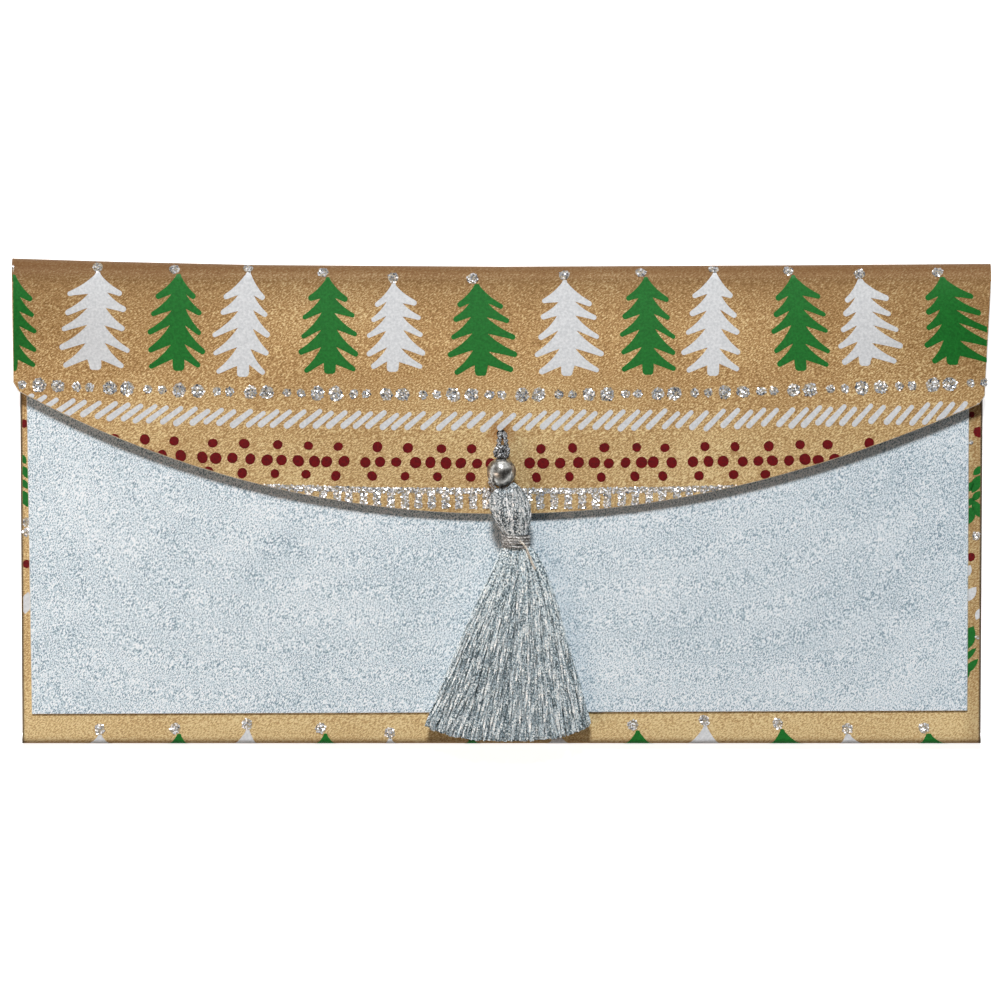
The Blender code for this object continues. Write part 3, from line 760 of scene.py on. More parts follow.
# %% Silver card
SILVER_LOW, SILVER_CARD = 1.87, 0.42
CARD_LEFT_TOP, CARD_LEFT_BOTTOM = -98.9, -97.55
CARD_RIGHT_TOP, CARD_RIGHT_BOTTOM = 97.2, 96.8
CARD_BOTTOM_LEFT, CARD_BOTTOM_RIGHT = -43.7, -43.0
card_top = silver_high.y


def card_pair(across_share, up_share):
    """Point pair of the card at its shares across and up."""
    bottom = CARD_BOTTOM_LEFT + (CARD_BOTTOM_RIGHT - CARD_BOTTOM_LEFT) * across_share
    y = bottom + (card_top - bottom) * up_share
    left = CARD_LEFT_BOTTOM + (CARD_LEFT_TOP - CARD_LEFT_BOTTOM) * up_share
    right = CARD_RIGHT_BOTTOM + (CARD_RIGHT_TOP - CARD_RIGHT_BOTTOM) * up_share
    x = left + (right - left) * across_share
    height = SILVER_LOW + swell(x, y)
    slant_x = CUT_SLANT * (1 - 2 * across_share) if across_share in (0, 1) else 0
    slant_y = CUT_SLANT if up_share == 0 else 0
    return (x + slant_x, y + slant_y, height + SILVER_CARD), (x, y, height)


card_rows = [[card_pair(i, j) for j in even_steps(0, 1, ROWS)] for i in even_steps(0, 1, COLUMNS)]
piece(
    "silver_card", paper(card_rows), [silver_paper, white_core], "envelope",
    ["silver_panel"],
)
print(f"silver card: {CARD_RIGHT_TOP - CARD_LEFT_TOP:.1f} mm wide at its top")

# %% [markdown]
# ## The flap and its rolled fold
#
# The sheet isn't creased sharp at the top: it rolls over, and bulges a little at its left end. A
# half tube would have a straight edge, so a short table says how far the roll bulges at places
# along it.

# %% Roll of the top fold
ROLL_BULGES = ((-1, 1.2), (-0.8, 0.55), (-0.5, -0.15), (0, -0.5), (0.6, -0.2), (1, 0.1))
ROLL_STEPS = 20
FLAP_PAPER = [gold_paper, white_core]
flap_half = fold_high.x


def between(table, place):
    """Value at a place of a table of (place, value), with straight lines between its rows."""
    for (a, low), (b, high) in zip(table, table[1:]):
        if place <= b:
            return low + (high - low) * max(0, place - a) / (b - a)
    return table[-1][1]


def roll_point(x, turn, inward):
    """A point of the roll, turned from the table (pi) up to the flap (0)."""
    bulge = between(ROLL_BULGES, x / flap_half) * math.sin(turn) ** 2
    radius = FOLD_RADIUS - inward + bulge
    return x, HINGE_Y + radius * math.sin(turn), HINGE_Z + radius * math.cos(turn)


roll_rows = [
    [(roll_point(x, turn, 0), roll_point(x, turn, GOLD_SHEET))
     for turn in even_steps(math.pi, 0, ROLL_STEPS)]
    for x in even_steps(-flap_half, flap_half, COLUMNS)
]
roll = piece("gold_roll", paper(roll_rows), FLAP_PAPER, stands_for=["top_fold"])
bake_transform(roll)
print(f"roll: {2 * FOLD_RADIUS:.2f} mm high without its bulges")

# %% [markdown]
# The flap is a shallow arch whose corners droop. It ends in a shallow curve with cut corners, and
# its left corner lies nearer to the roll than its right one. It sinks a little round the punched
# hole. A bend modifier couldn't follow all that, so two functions of the place say where its edge
# runs and how high its face stands.

# %% Shape of the flap
FLAP_ARCH, FLAP_TIP_DROP = 1.45, 0.6
FLAP_CORNER_DROP, FLAP_DROOP_SHARE, DROOP_POWER = 4.3, 0.45, 4
FLAP_CORNER_Y, FLAP_CORNER_CUT = 22.55, 1.2
LEFT_TAPER, RIGHT_TAPER = 0.2, 1.2
LEFT_WARP, RIGHT_WARP = 1.4, -1.4
TIP_LENGTHENING = 0.5
DIMPLE_DEPTH, DIMPLE_REACH = 0.28, 1.7
flap_tip_y = flap_low.y - TIP_LENGTHENING


def taper(x):
    """How far the flap's side draws in on its way from the roll to the corner."""
    return LEFT_TAPER if x < 0 else RIGHT_TAPER


def flap_edge_y(x):
    """The flap's lower edge: a shallow parabola, deepest in the middle, with cut corners."""
    half = flap_half - taper(x)
    warp = (LEFT_WARP if x < 0 else RIGHT_WARP) * abs(x / flap_half) ** 2
    curve = flap_tip_y + (FLAP_CORNER_Y + warp - flap_tip_y) * (x / half) ** 2
    return curve + max(0, abs(x) - (half - FLAP_CORNER_CUT))


def flap_top(x, y):
    """Height of the flap's outer face."""
    share = (HINGE_Y - y) / (HINGE_Y - flap_tip_y)
    from_hole = math.hypot(x - hole.x, y - hole.y)
    arch = FLAP_ARCH * math.sin(math.pi * share) - FLAP_TIP_DROP * share * share
    outward = abs(x / flap_half) ** DROOP_POWER
    droop = FLAP_CORNER_DROP * outward * smooth_step(share / FLAP_DROOP_SHARE)
    dimple = DIMPLE_DEPTH * math.exp(-((from_hole / DIMPLE_REACH) ** 2))
    return 2 * FOLD_RADIUS + arch - droop - dimple


print(f"flap's edge: {flap_edge_y(0):.2f} in the middle, {flap_edge_y(-flap_half):.2f} at the left")

# %% [markdown]
# The cord comes out of a punched hole. A Boolean would cut it too, but it leaves long thin faces
# round the hole. Here the cells round the hole are taken out of both faces of the sheet, and rings
# of points close the gap again up to a round rim.

# %% Hole in the flap
HOLE_RADIUS, HOLE_SIDES = 1.0, 24
PUNCH_REACH, PUNCH_RINGS = 2.9, (2.2, 1.6, 1.25, HOLE_RADIUS)


def punch_hole(sheet):
    """Takes the cells round the hole out of the flap, and closes them in again up to its rim."""
    for side in (0, 1):
        cells = [
            face for face in sheet.faces
            if face.material_index == side
            and (face.calc_center_median() - hole).xy.length < PUNCH_REACH
        ]
        cell_edges = {edge for face in cells for edge in face.edges}
        loop = [
            edge for edge in cell_edges if sum(face in cells for face in edge.link_faces) == 1
        ]
        bmesh.ops.delete(sheet, geom=cells, context="FACES")
        for radius in PUNCH_RINGS:
            spots = []
            for step in range(HOLE_SIDES):
                angle = 2 * math.pi * step / HOLE_SIDES
                x, y = hole.x + radius * math.cos(angle), hole.y + radius * math.sin(angle)
                spots.append(sheet.verts.new((x, y, flap_top(x, y) - side * GOLD_SHEET)))
            ring = [sheet.edges.new((a, b)) for a, b in zip(spots, spots[1:] + spots[:1])]
            for face in bmesh.ops.bridge_loops(sheet, edges=loop + ring)["faces"]:
                face.material_index = side
            loop = ring
        if side == 0:
            outer_rim = loop
    for face in bmesh.ops.bridge_loops(sheet, edges=outer_rim + loop)["faces"]:
        face.material_index = 1


print(f"hole: {2 * HOLE_RADIUS} mm across")

# %% [markdown]
# The flap is one sheet whose columns run from the roll down to its cut edge, so it needs no
# trimming. Its first and last cells are as wide as the cut corners, so the corners stay sharp.

# %% Flap
FLAP_COLUMNS, FLAP_ROWS = 72, 30


def flap_row(column):
    """One column of the flap, from the roll down to its cut edge. column runs from -1 to 1."""
    side_taper = taper(column)
    edge = flap_edge_y(column * (flap_half - side_taper))
    row = []
    for share in even_steps(0, 1, FLAP_ROWS):
        y = HINGE_Y + (edge - HINGE_Y) * share
        down = min(1, (HINGE_Y - y) / (HINGE_Y - FLAP_CORNER_Y))
        x = column * (flap_half - side_taper * down)
        z = flap_top(x, y)
        slant_x = -CUT_SLANT * column if abs(column) == 1 else 0
        slant_y = CUT_SLANT if share == 1 else 0
        row.append(((x + slant_x, y + slant_y, z), (x, y, z - GOLD_SHEET)))
    return row


inner_share = 1 - FLAP_CORNER_CUT / flap_half
flap_columns = [-1, *even_steps(-inner_share, inner_share, FLAP_COLUMNS), 1]
flap_sheet = paper([flap_row(column) for column in flap_columns])
punch_hole(flap_sheet)
piece("gold_flap", flap_sheet, FLAP_PAPER, "flap", ["flap"])
print(f"flap: {2 * flap_half:.0f} mm wide, {fold_high.y - flap_tip_y:.1f} mm deep")

# %% [markdown]
# ## The print
#
# The sheet is screen printed before it is cut: firs with a glitter dot on top, then rows of
# glitter dots, slanting dashes, red dots and a glitter ladder. These are the common motifs of a
# knitted winter border. A picture on the surface would do for one view, but real ink stands up a
# little and is cut where the sheet is cut. So each shape is a thin film in flat sheet coordinates,
# trimmed, sliced into small cells and only then laid on the curved paper.

# %% Inks
INK_MOTTLE, INK_MOTTLE_ROUGH, INK_PLACES = 0.5, 0.6, (0.35, 0.65)
INK_ROUGH, INK_SHINE, INK_SPECULAR, INK_RELIEF = 0.7, 0.3, 0.2, 0.03


def ink_finish(name, low, high):
    """Matt ink through which the emboss of the gold paper still shows."""
    ink = Surface(name)
    mottle = ink.grain(INK_MOTTLE, detail=3, rough=INK_MOTTLE_ROUGH)
    ink.paint(ink.ramp(mottle, *zip(INK_PLACES, (low, high))))
    ink.shade({"Roughness": INK_ROUGH - mottle * INK_SHINE, "Specular IOR Level": INK_SPECULAR})
    ink.relief(flecks_of(ink), INK_RELIEF)
    return ink


white_ink = ink_finish("white_ink", seen(181, 185, 189), seen(204, 207, 210))
green_ink = ink_finish("green_ink", seen(14, 88, 28), seen(24, 108, 38))
red_ink = ink_finish("red_ink", seen(78, 2, 8), seen(108, 6, 12))
glitter_glue = ink_finish("glitter_glue", seen(128, 120, 106), seen(172, 162, 142))
print("inks: white, green, red and the glue of the glitter")

# %% [markdown]
# Foil flakes are small mirrors that all point elsewhere, so next to a white one lies a dark one. A
# single metal would need many lamps for that, so each flake gets a painted glint: a tone of its
# own from its island number. The flakes in the row of dots are greyer, and those on the roll are
# duller.

# %% Foil of the glitter
FLAKE_HAZE, FLAKE_TONE = 0.2, 0.85
FLAKE_ROUGH, HAZE_ROUGH = 0.15, 0.3
FOIL_METAL, DULL_METAL = 0.6, 0.4


def flake_finish(name, metallic, *stops):
    """Foil flakes whose tone, a painted glint, differs from one to the next."""
    foil = Surface(name, metallic)
    haze = foil.grain(FLAKE_HAZE)
    foil.paint(foil.ramp(foil.island() * FLAKE_TONE + haze * (1 - FLAKE_TONE), *stops))
    foil.shade({"Roughness": FLAKE_ROUGH + haze * HAZE_ROUGH})
    return foil


flake = flake_finish(
    "glitter_flake", FOIL_METAL, (0.06, seen(84, 90, 102)), (0.2, seen(170, 176, 186)),
    (0.36, seen(232, 236, 242)), (0.55, seen(255, 255, 255)),
)
grey_flake = flake_finish(
    "grey_glitter_flake", FOIL_METAL, (0.1, seen(78, 84, 96)), (0.3, seen(146, 152, 162)),
    (0.55, seen(210, 216, 222)), (0.8, seen(255, 255, 255)),
)
dull_flake = flake_finish(
    "dull_glitter_flake", DULL_METAL, (0.1, seen(66, 70, 78)), (0.5, seen(132, 132, 134)),
    (0.85, seen(196, 196, 200)),
)
print("foils: bright, grey and dull")

# %% [markdown]
# A shape of the print is an outline in flat sheet coordinates. As one large face it would stay flat
# over the arched paper, so it is sliced along lines that are a few millimetres apart. Then every
# point goes to its place on the paper, once a little above its face and once a little below.

# %% Flat shapes
INK_RISE, INK_DEPTH = 0.035, 0.05


def flat_shape(outline):
    """A closed outline of (x, s) points as a flat mesh of triangles."""
    flat = bmesh.new()
    flat.faces.new([flat.verts.new((x, s, 0)) for x, s in outline])
    flat.normal_update()
    bmesh.ops.triangulate(flat, faces=flat.faces)
    return flat


def slice_at(flat, place, heading, trim=False):
    """Cuts a flat mesh along a line. trim drops the part towards the heading."""
    everything = flat.verts[:] + flat.edges[:] + flat.faces[:]
    bmesh.ops.bisect_plane(
        flat, geom=everything, plane_co=place, plane_no=heading, clear_outer=trim
    )


def into_cells(flat, lines_x, lines_s):
    """Slices a flat mesh along every line that crosses it."""
    for axis, lines in ((0, lines_x), (1, lines_s)):
        places = [vertex.co[axis] for vertex in flat.verts]
        for line in lines:
            if places and min(places) < line < max(places):
                spot, heading = [0, 0, 0], [0, 0, 0]
                spot[axis], heading[axis] = line, 1
                slice_at(flat, spot, heading)


def add_film(made, flat, on_sheet):
    """Lays a flat mesh on a sheet as a closed film that is sunk a little into the paper."""
    top, low = [
        {vertex: made.verts.new(on_sheet(vertex.co.x, vertex.co.y, lift)) for vertex in flat.verts}
        for lift in (INK_RISE, -INK_DEPTH)
    ]
    for face in flat.faces:
        for layer in (top, low):
            made.faces.new([layer[vertex] for vertex in face.verts])
    for edge in flat.edges:
        if edge.is_boundary:
            a, b = edge.verts
            made.faces.new((top[a], top[b], low[b], low[a]))


print(f"ink: stands {INK_RISE} mm above the paper")

# %% [markdown]
# Glitter is a glue that is printed first and strewn with foil flakes. Each flake is a small tilted
# plate with its root in the glue, so the row sparkles from every side, and no texture could do
# that.

# %% Glitter flakes
FLAKES_PER_MM2, FLAKE_SIZES, FLAKE_CORNERS = 8.5, (0.14, 0.27), (5, 6)
FLAKE_TILT, FLAKE_ROOT, FLAKE_RISES = 0.42, 0.06, (0.02, 0.08)
ANY_ANGLE = (0, 6.28)
glitter_chance = random.Random(21)


def add_flake(made, spot, outward):
    """One foil flake: a tilted plate of five or six corners with its root below."""
    corners = glitter_chance.choice(FLAKE_CORNERS)
    size, spin = glitter_chance.uniform(*FLAKE_SIZES), glitter_chance.uniform(*ANY_ANGLE)
    lean = Vector([glitter_chance.uniform(-FLAKE_TILT, FLAKE_TILT) for _ in range(3)])
    facing = (outward + lean).normalized()
    side = facing.orthogonal().normalized()
    front = facing.cross(side)
    ring = []
    for corner in range(corners):
        angle = spin + 2 * math.pi * corner / corners
        ring.append(made.verts.new(
            spot + size * (side * math.cos(angle) + front * math.sin(angle))
        ))
    root = made.verts.new(spot - outward * (FLAKE_ROOT + INK_RISE))
    made.faces.new(ring).material_index = 1
    for number, vertex in enumerate(ring):
        made.faces.new((vertex, ring[(number + 1) % corners], root)).material_index = 1


def strew(made, flat, on_sheet):
    """Strews flakes evenly over a flat mesh."""
    bmesh.ops.triangulate(flat, faces=flat.faces)
    for face in flat.faces:
        a, b, c = [vertex.co.copy() for vertex in face.verts]
        wanted = face.calc_area() * FLAKES_PER_MM2 + glitter_chance.random()
        for _ in range(int(wanted)):
            i, j = sorted((glitter_chance.random(), glitter_chance.random()))
            x, s, _ = a * i + b * (j - i) + c * (1 - j)
            spot = Vector(on_sheet(x, s, INK_RISE + glitter_chance.uniform(*FLAKE_RISES)))
            outward = (Vector(on_sheet(x, s, 1)) - Vector(on_sheet(x, s, 0))).normalized()
            add_flake(made, spot, outward)


print(f"glitter: {FLAKES_PER_MM2} flakes on a square millimetre")

# %% [markdown]
# ## Sheet coordinates
#
# On the flap, s runs down from the line where the roll begins. It is negative round the roll. On
# the body, s runs up the front from the bottom fold, and it is negative round the fold and on
# over the back. So a fir whose top shows on the front goes on round the fold, as on the real one.

# %% Places on the sheet
def on_flap(x, s, lift):
    y = HINGE_Y - s
    return x, y, flap_top(x, y) + lift


def on_roll(x, s, lift):
    return roll_point(x, -s / FOLD_RADIUS, -lift)


FOLD_ARC = math.pi * BOTTOM_FOLD_RADIUS


def on_body(x, s, lift):
    """A point of the front, of the bottom fold or of the back."""
    if s >= 0:
        y = BOTTOM_FOLD_Y + s
        return drawn_in(x, y), y, FRONT_LOW + GOLD_SHEET + swell(x, y) + lift
    if s > -FOLD_ARC:
        return bottom_fold_point(x, BOTTOM_FOLD_RADIUS + lift, s / BOTTOM_FOLD_RADIUS)
    y = BOTTOM_FOLD_Y - s - FOLD_ARC
    return drawn_in(x, y), y, BACK_LOW - lift


def flap_spot(column, row):
    """Sheet coordinates on the flap or the roll of a point of the photograph."""
    y = up(row)
    beyond = y - HINGE_Y
    if beyond <= 0:
        return across(column), -beyond
    return across(column), -FOLD_RADIUS * math.asin(min(1, beyond / FOLD_RADIUS))


print(f"sheet: {FOLD_ARC:.1f} mm of it go round the bottom fold")

# %% [markdown]
# The sheet is printed first and cut afterwards, so shapes that reach over its edge are trimmed
# there. The flap, the roll and the body are three zones, and each has its own trim, its own lines
# for slicing and its own way on to the curved paper. First come the trims.

# %% Trims of the print
TRIM_MARGIN, BODY_MARGIN = 0.22, 0.05
EDGE_CUTS, SLOPE_STEP = 3, 0.1
RIGHT, LEFT, DOWN, UP = (1, 0, 0), (-1, 0, 0), (0, 1, 0), (0, -1, 0)
back_end = -(FOLD_ARC + HINGE_Y - BOTTOM_FOLD_Y)


def trim_sides(flat, left, right):
    """Trims a flat mesh to the columns between two places across the sheet."""
    slice_at(flat, (left, 0, 0), LEFT, trim=True)
    slice_at(flat, (right, 0, 0), RIGHT, trim=True)


def trim_to_flap(flat):
    """Trims a flat mesh to the start of the roll, the flap's sides and its curved edge."""
    slice_at(flat, (0, 0, 0), UP, trim=True)
    left, right = -flap_half + LEFT_TAPER / 2, flap_half - RIGHT_TAPER / 2
    trim_sides(flat, left + TRIM_MARGIN, right - TRIM_MARGIN)
    places = [vertex.co.x for vertex in flat.verts]
    if not places:
        return
    for x in even_steps(min(places), max(places), EDGE_CUTS):
        rise = flap_edge_y(x + SLOPE_STEP) - flap_edge_y(x - SLOPE_STEP)
        spot = (x, HINGE_Y - flap_edge_y(x) - TRIM_MARGIN, 0)
        slice_at(flat, spot, (rise / (2 * SLOPE_STEP), 1, 0), trim=True)


def trim_to_roll(flat):
    """Trims a flat mesh to the part above the hinge and between the roll's ends."""
    slice_at(flat, (0, 0, 0), DOWN, trim=True)
    trim_sides(flat, -flap_half + TRIM_MARGIN, flap_half - TRIM_MARGIN)


def trim_to_body(flat):
    """Trims a flat mesh to the end of the back, and just inside the sides of the front."""
    slice_at(flat, (0, back_end, 0), UP, trim=True)
    trim_sides(flat, -front_half + BODY_MARGIN, front_half - BODY_MARGIN)


print(f"trims: the print ends {TRIM_MARGIN} mm before the flap's edge")

# %% [markdown]
# The lines for slicing lie closer where the paper bends more: every three millimetres across, but
# only half a millimetre apart on the roll.

# %% Zones of the print
CELL, PRINT_HALF, FLAP_REACH, FLAP_CELLS = 3, 102, 60, 44
ROLL_CELL, ROLL_REACH = 0.5, 9
BACK_CELLS, FOLD_CELLS, FRONT_CELLS, FRONT_REACH = 32, 8, 30, 90

lines_across = even_steps(-PRINT_HALF, PRINT_HALF, 2 * PRINT_HALF // CELL)
body_lines = even_steps(back_end, -FOLD_ARC, BACK_CELLS)
body_lines += even_steps(-FOLD_ARC, 0, FOLD_CELLS) + even_steps(0, FRONT_REACH, FRONT_CELLS)
ZONES = {
    "flap": (trim_to_flap, even_steps(0, FLAP_REACH, FLAP_CELLS), on_flap),
    "roll": (trim_to_roll, even_steps(-ROLL_REACH, 0, int(ROLL_REACH / ROLL_CELL)), on_roll),
    "body": (trim_to_body, body_lines, on_body),
}
print("zones:", ", ".join(ZONES))

# %% [markdown]
# All shapes of one colour in one zone make one piece, because they are printed in one go. A second
# finish means glitter, and then foil flakes are strewn over the glue.

# %% Printing
def print_on(zone, name, outlines, finishes):
    """Prints outlines on one zone of the sheet, as one piece."""
    trim, lines, on_sheet = ZONES[zone]
    made = bmesh.new()
    for outline in outlines:
        flat = flat_shape(outline)
        trim(flat)
        into_cells(flat, lines_across, lines)
        add_film(made, flat, on_sheet)
        if len(finishes) > 1:
            strew(made, flat, on_sheet)
        flat.free()
    print(f"{name} on the {zone}: {len(made.faces)} faces")
    if zone == "roll":
        printed = piece(f"{name}_on_roll", made, finishes)
        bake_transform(printed)
    else:
        body = "flap" if zone == "flap" else "envelope"
        piece(f"{name}_on_{zone}", made, finishes, body)


# %% [markdown]
# ## Firs
#
# Each fir has five drooping pairs of branches with round ends, and a short foot. Copies of one fir
# would look stamped, and the real ones look drawn by hand. So one rule draws them all, with small
# differences from tree to tree.

# %% One side of a fir
BRANCH_TIPS = ((0.25, 0.72), (0.415, 0.84), (0.61, 0.95), (0.8, 1.0), (0.962, 0.87))
BRANCH_NOTCHES = ((0.222, 0.24), (0.372, 0.23), (0.535, 0.25), (0.727, 0.22), (0.893, 0.18))
BRANCH_END, BRANCH_DROOP, END_STEPS = 0.56, math.radians(33), 6
UPPER_BEND, LOWER_BEND = (0.4, 0.6), (0.45, 0.4)
TOP_BLUNTNESS, TOP_DOWN, TOP_SHARE, TOP_ROUNDING = (0.4, 0.75), 0.6, 0.7, 0.12
END_SPREAD, FOOT_SPREAD = (0.85, 1.12), (0.92, 1.1)
TIP_SPREAD, TIP_WANDER = (0.88, 1.05), (-0.018, 0.018)
NOTCH_SPREAD, NOTCH_WANDER = (0.85, 1.2), (-0.012, 0.012)
FOOT_HALF, FOOT_POINTS = 1.2, ((1, 0.9), (0.9, 0.3), (0.55, 0))
fir_chance = random.Random(5)


def curve(start, middle, end, count=6):
    """Points of a curve that leaves start towards middle and arrives at end."""
    start, middle, end = Vector(start), Vector(middle), Vector(end)
    return [start.lerp(middle, t).lerp(middle.lerp(end, t), t) for t in even_steps(0, 1, count)]


def part_way(start, end, share_x, share_y):
    """A point between two others, at its own share sideways and down."""
    return Vector((start.x + share_x * (end.x - start.x), start.y + share_y * (end.y - start.y)))


def fir_side(reach, height):
    """One side of a fir from its top to its foot, as points of (sideways, down)."""
    vary = fir_chance.uniform
    along = Vector((math.cos(BRANCH_DROOP), math.sin(BRANCH_DROOP)))
    below = Vector((-along.y, along.x))
    blunt = vary(*TOP_BLUNTNESS)
    start = Vector((blunt, TOP_DOWN))
    line = [Vector((0, 0)), Vector((TOP_SHARE * blunt, TOP_ROUNDING)), start]
    for (tip_down, tip_out), (notch_down, notch_out) in zip(BRANCH_TIPS, BRANCH_NOTCHES):
        end = BRANCH_END * vary(*END_SPREAD)
        tip_x = reach * tip_out * vary(*TIP_SPREAD)
        tip = Vector((tip_x, height * (tip_down + vary(*TIP_WANDER))))
        notch_x = max(FOOT_HALF, reach * notch_out * vary(*NOTCH_SPREAD))
        notch = Vector((notch_x, height * (notch_down + vary(*NOTCH_WANDER))))
        centre = tip - along * end
        arrive, leave = centre - below * end, centre + below * end
        line += curve(start, part_way(start, arrive, *UPPER_BEND), arrive)[1:]
        line += [
            centre + end * (along * math.cos(a) + below * math.sin(a))
            for a in even_steps(-math.pi / 2, math.pi / 2, END_STEPS)[1:-1]
        ]
        line += curve(leave, part_way(notch, leave, *LOWER_BEND), notch)[1:]
        start = notch
    foot = FOOT_HALF * vary(*FOOT_SPREAD)
    return line + [Vector((foot * share, height - lift)) for share, lift in FOOT_POINTS]


print("branches on a side:", len(BRANCH_TIPS))

# %% [markdown]
# A fir is two such sides round a line from its tip to its foot, so it leans as its place asks. A
# dot is a circle with a slight wobble.

# %% A fir and a dot
DOT_WOBBLE, DOT_CORNERS = (0.0, 0.09), 14


def fir(tip, foot, left, right):
    """A fir's outline from its tip, its foot and the columns that its branches reach."""
    (tip_x, tip_s), (foot_x, foot_s) = flap_spot(*tip), flap_spot(*foot)
    height = foot_s - tip_s
    outline = []
    for side, reach in ((1, across(right) - tip_x), (-1, tip_x - across(left))):
        points = fir_side(reach, height)
        if side < 0:
            points = points[:0:-1]
        for point in points:
            lean = (foot_x - tip_x) * point.y / height
            outline.append((tip_x + lean + side * point.x, tip_s + point.y))
    return outline


def disc(x, s, radius, chance=glitter_chance, corners=DOT_CORNERS):
    """A round dot that is a little uneven, as ink leaves it."""
    wobble, phase = chance.uniform(*DOT_WOBBLE), chance.uniform(*ANY_ANGLE)
    outline = []
    for corner in range(corners):
        angle = 2 * math.pi * corner / corners
        spread = radius * (1 + wobble * math.cos(2 * angle + phase))
        outline.append((x + spread * math.cos(angle), s + spread * math.sin(angle)))
    return outline


print(f"dots: wobble by up to {DOT_WOBBLE[1]:.0%}")

# %% [markdown]
# The firs stand in one row, green and white in turn, and each has a glitter star on its tip. The
# row's table says where each tip and foot stands in the photograph, and between which columns its
# branches reach.

# %% Row of firs
FIRS = (
    ("green", (14, 275), (12, 371), -14, 40), ("white", (98.7, 272.5), (95.4, 370), 59, 132),
    ("green", (179.5, 274), (179, 371), 147, 205), ("white", (249, 272), (243, 377), 215, 274),
    ("green", (328, 277), (330, 374), 297, 358), ("white", (394, 283), (393, 372), 367, 427),
    ("green", (477, 284), (481, 376), 446, 514), ("white", (565, 280), (567, 376), 533, 602),
    ("green", (645.5, 277), (648, 375), 617, 676), ("white", (714, 272.5), (713, 376), 683, 742),
    ("green", (793, 275), (800.5, 371), 766, 827), ("white", (860, 279), (864.5, 366), 835, 898),
    ("green", (942, 277), (953, 365), 916, 986),
)
STAR_RADIUS, STAR_ABOVE = 1.12, 1.1
STAR_ASIDE = {"green": -1.0, "white": -0.15}
firs = {"green": [], "white": []}
stars = []
for colour, tip, foot, left, right in FIRS:
    firs[colour].append(fir(tip, foot, left, right))
    x, s = flap_spot(*tip)
    stars.append(disc(x + STAR_ASIDE[colour], s - STAR_ABOVE, STAR_RADIUS))
print("firs:", len(FIRS))

# %% [markdown]
# ## Rows below the firs
#
# Below the firs come a row of glitter dots, dashes, red dots and a glitter ladder. All of them bow
# a little, because the print isn't quite straight on the sheet. The glitter dots repeat eight
# spots, and the repeat is drawn out towards both sides.

# %% Row of glitter dots
GLITTER_REPEAT, GLITTER_START, GLITTER_REPEATS = 135.6, 386.4, range(-3, 5)
GLITTER_STRETCH, STRETCH_LEFT, STRETCH_RIGHT = 0.036, 250, 820
GLITTER_ROW, GLITTER_BOWS = 395, (11.5, 13.5)
BIG_DOT, SMALL_DOT, DOT_SPREAD = 1.38, 0.92, (0.93, 1.07)
GLITTER_DOTS = (
    (0, BIG_DOT), (16.4, BIG_DOT), (36.6, SMALL_DOT), (50.4, SMALL_DOT), (66.8, BIG_DOT),
    (85, BIG_DOT), (103.2, SMALL_DOT), (115.6, SMALL_DOT),
)
glitter_dots = []


def bowed(column, middle_row, left_bow, right_bow):
    """Row of the photograph on a bowed line. The bow is in rows at the picture's side."""
    half = PICTURE_PIXELS / 2
    aside = (column - half) / half
    return middle_row - (left_bow if aside < 0 else right_bow) * aside * aside


for repeat in GLITTER_REPEATS:
    for offset, radius in GLITTER_DOTS:
        column = GLITTER_START + GLITTER_REPEAT * repeat + offset
        column -= GLITTER_STRETCH * max(0, STRETCH_LEFT - column)
        column += GLITTER_STRETCH * max(0, column - STRETCH_RIGHT)
        x, s = flap_spot(column, bowed(column, GLITTER_ROW, *GLITTER_BOWS))
        glitter_dots.append(disc(x, s, radius * glitter_chance.uniform(*DOT_SPREAD)))
print("glitter dots:", len(glitter_dots))

# %% [markdown]
# The dashes are slanting strokes of a thick pen. Each is thicker at its lower end, and they stand
# steeper towards the right. An outline of two half circles gives the round ends, and chance gives
# each its own length and place.

# %% Row of dashes
DASH_PITCH, DASH_HALF, DASH_LEAN = 13.9, (2.05, 1.85), (-0.0025, 0.003)
DASH_RADIUS, DASH_THINNING, DASH_END_STEPS = 0.56, 0.12, 5
DASH_ROW, DASH_BOWS = 421, (8, 10)
DASH_FIRST, DASH_LAST = 22.0, 990
LEFT_RISE, LEFT_HALF, RISE_POWER = 220, 0.5, 4
DASH_LENGTHS, DASH_WIDTHS = (0.88, 1.12), (0.9, 1.1)
DASH_WANDER, PITCH_WANDER = (-1, 1), (-2, 2)


def dash(x, s):
    """A slanting stroke with round ends round a spot of the sheet."""
    half = (Vector(DASH_HALF) + Vector(DASH_LEAN) * x) * fir_chance.uniform(*DASH_LENGTHS)
    ahead = Vector((half.x, -half.y)).normalized()
    aside = Vector((ahead.y, -ahead.x))
    outline = []
    for end, quarter in ((1, 0), (-1, math.pi)):
        radius = DASH_RADIUS * (1 - DASH_THINNING * end) * fir_chance.uniform(*DASH_WIDTHS)
        centre = Vector((x, s)) + end * (Vector((half.x, -half.y)) - ahead * radius)
        for angle in even_steps(quarter - math.pi / 2, quarter + math.pi / 2, DASH_END_STEPS):
            spot = centre + radius * (ahead * math.cos(angle) - aside * math.sin(angle))
            outline.append(tuple(spot))
    return outline


dashes = []
column = DASH_FIRST
while column < DASH_LAST:
    row = bowed(column, DASH_ROW, *DASH_BOWS)
    row -= LEFT_RISE * max(0, LEFT_HALF - column / PICTURE_PIXELS) ** RISE_POWER
    dashes.append(dash(*flap_spot(column, row + fir_chance.uniform(*DASH_WANDER))))
    column += DASH_PITCH + fir_chance.uniform(*PITCH_WANDER)
print("dashes:", len(dashes))

# %% [markdown]
# The red dots lie in three rows, and the middle row has the most. Each row has its own spots within
# the repeat. The dots stop short of the cord in the middle.

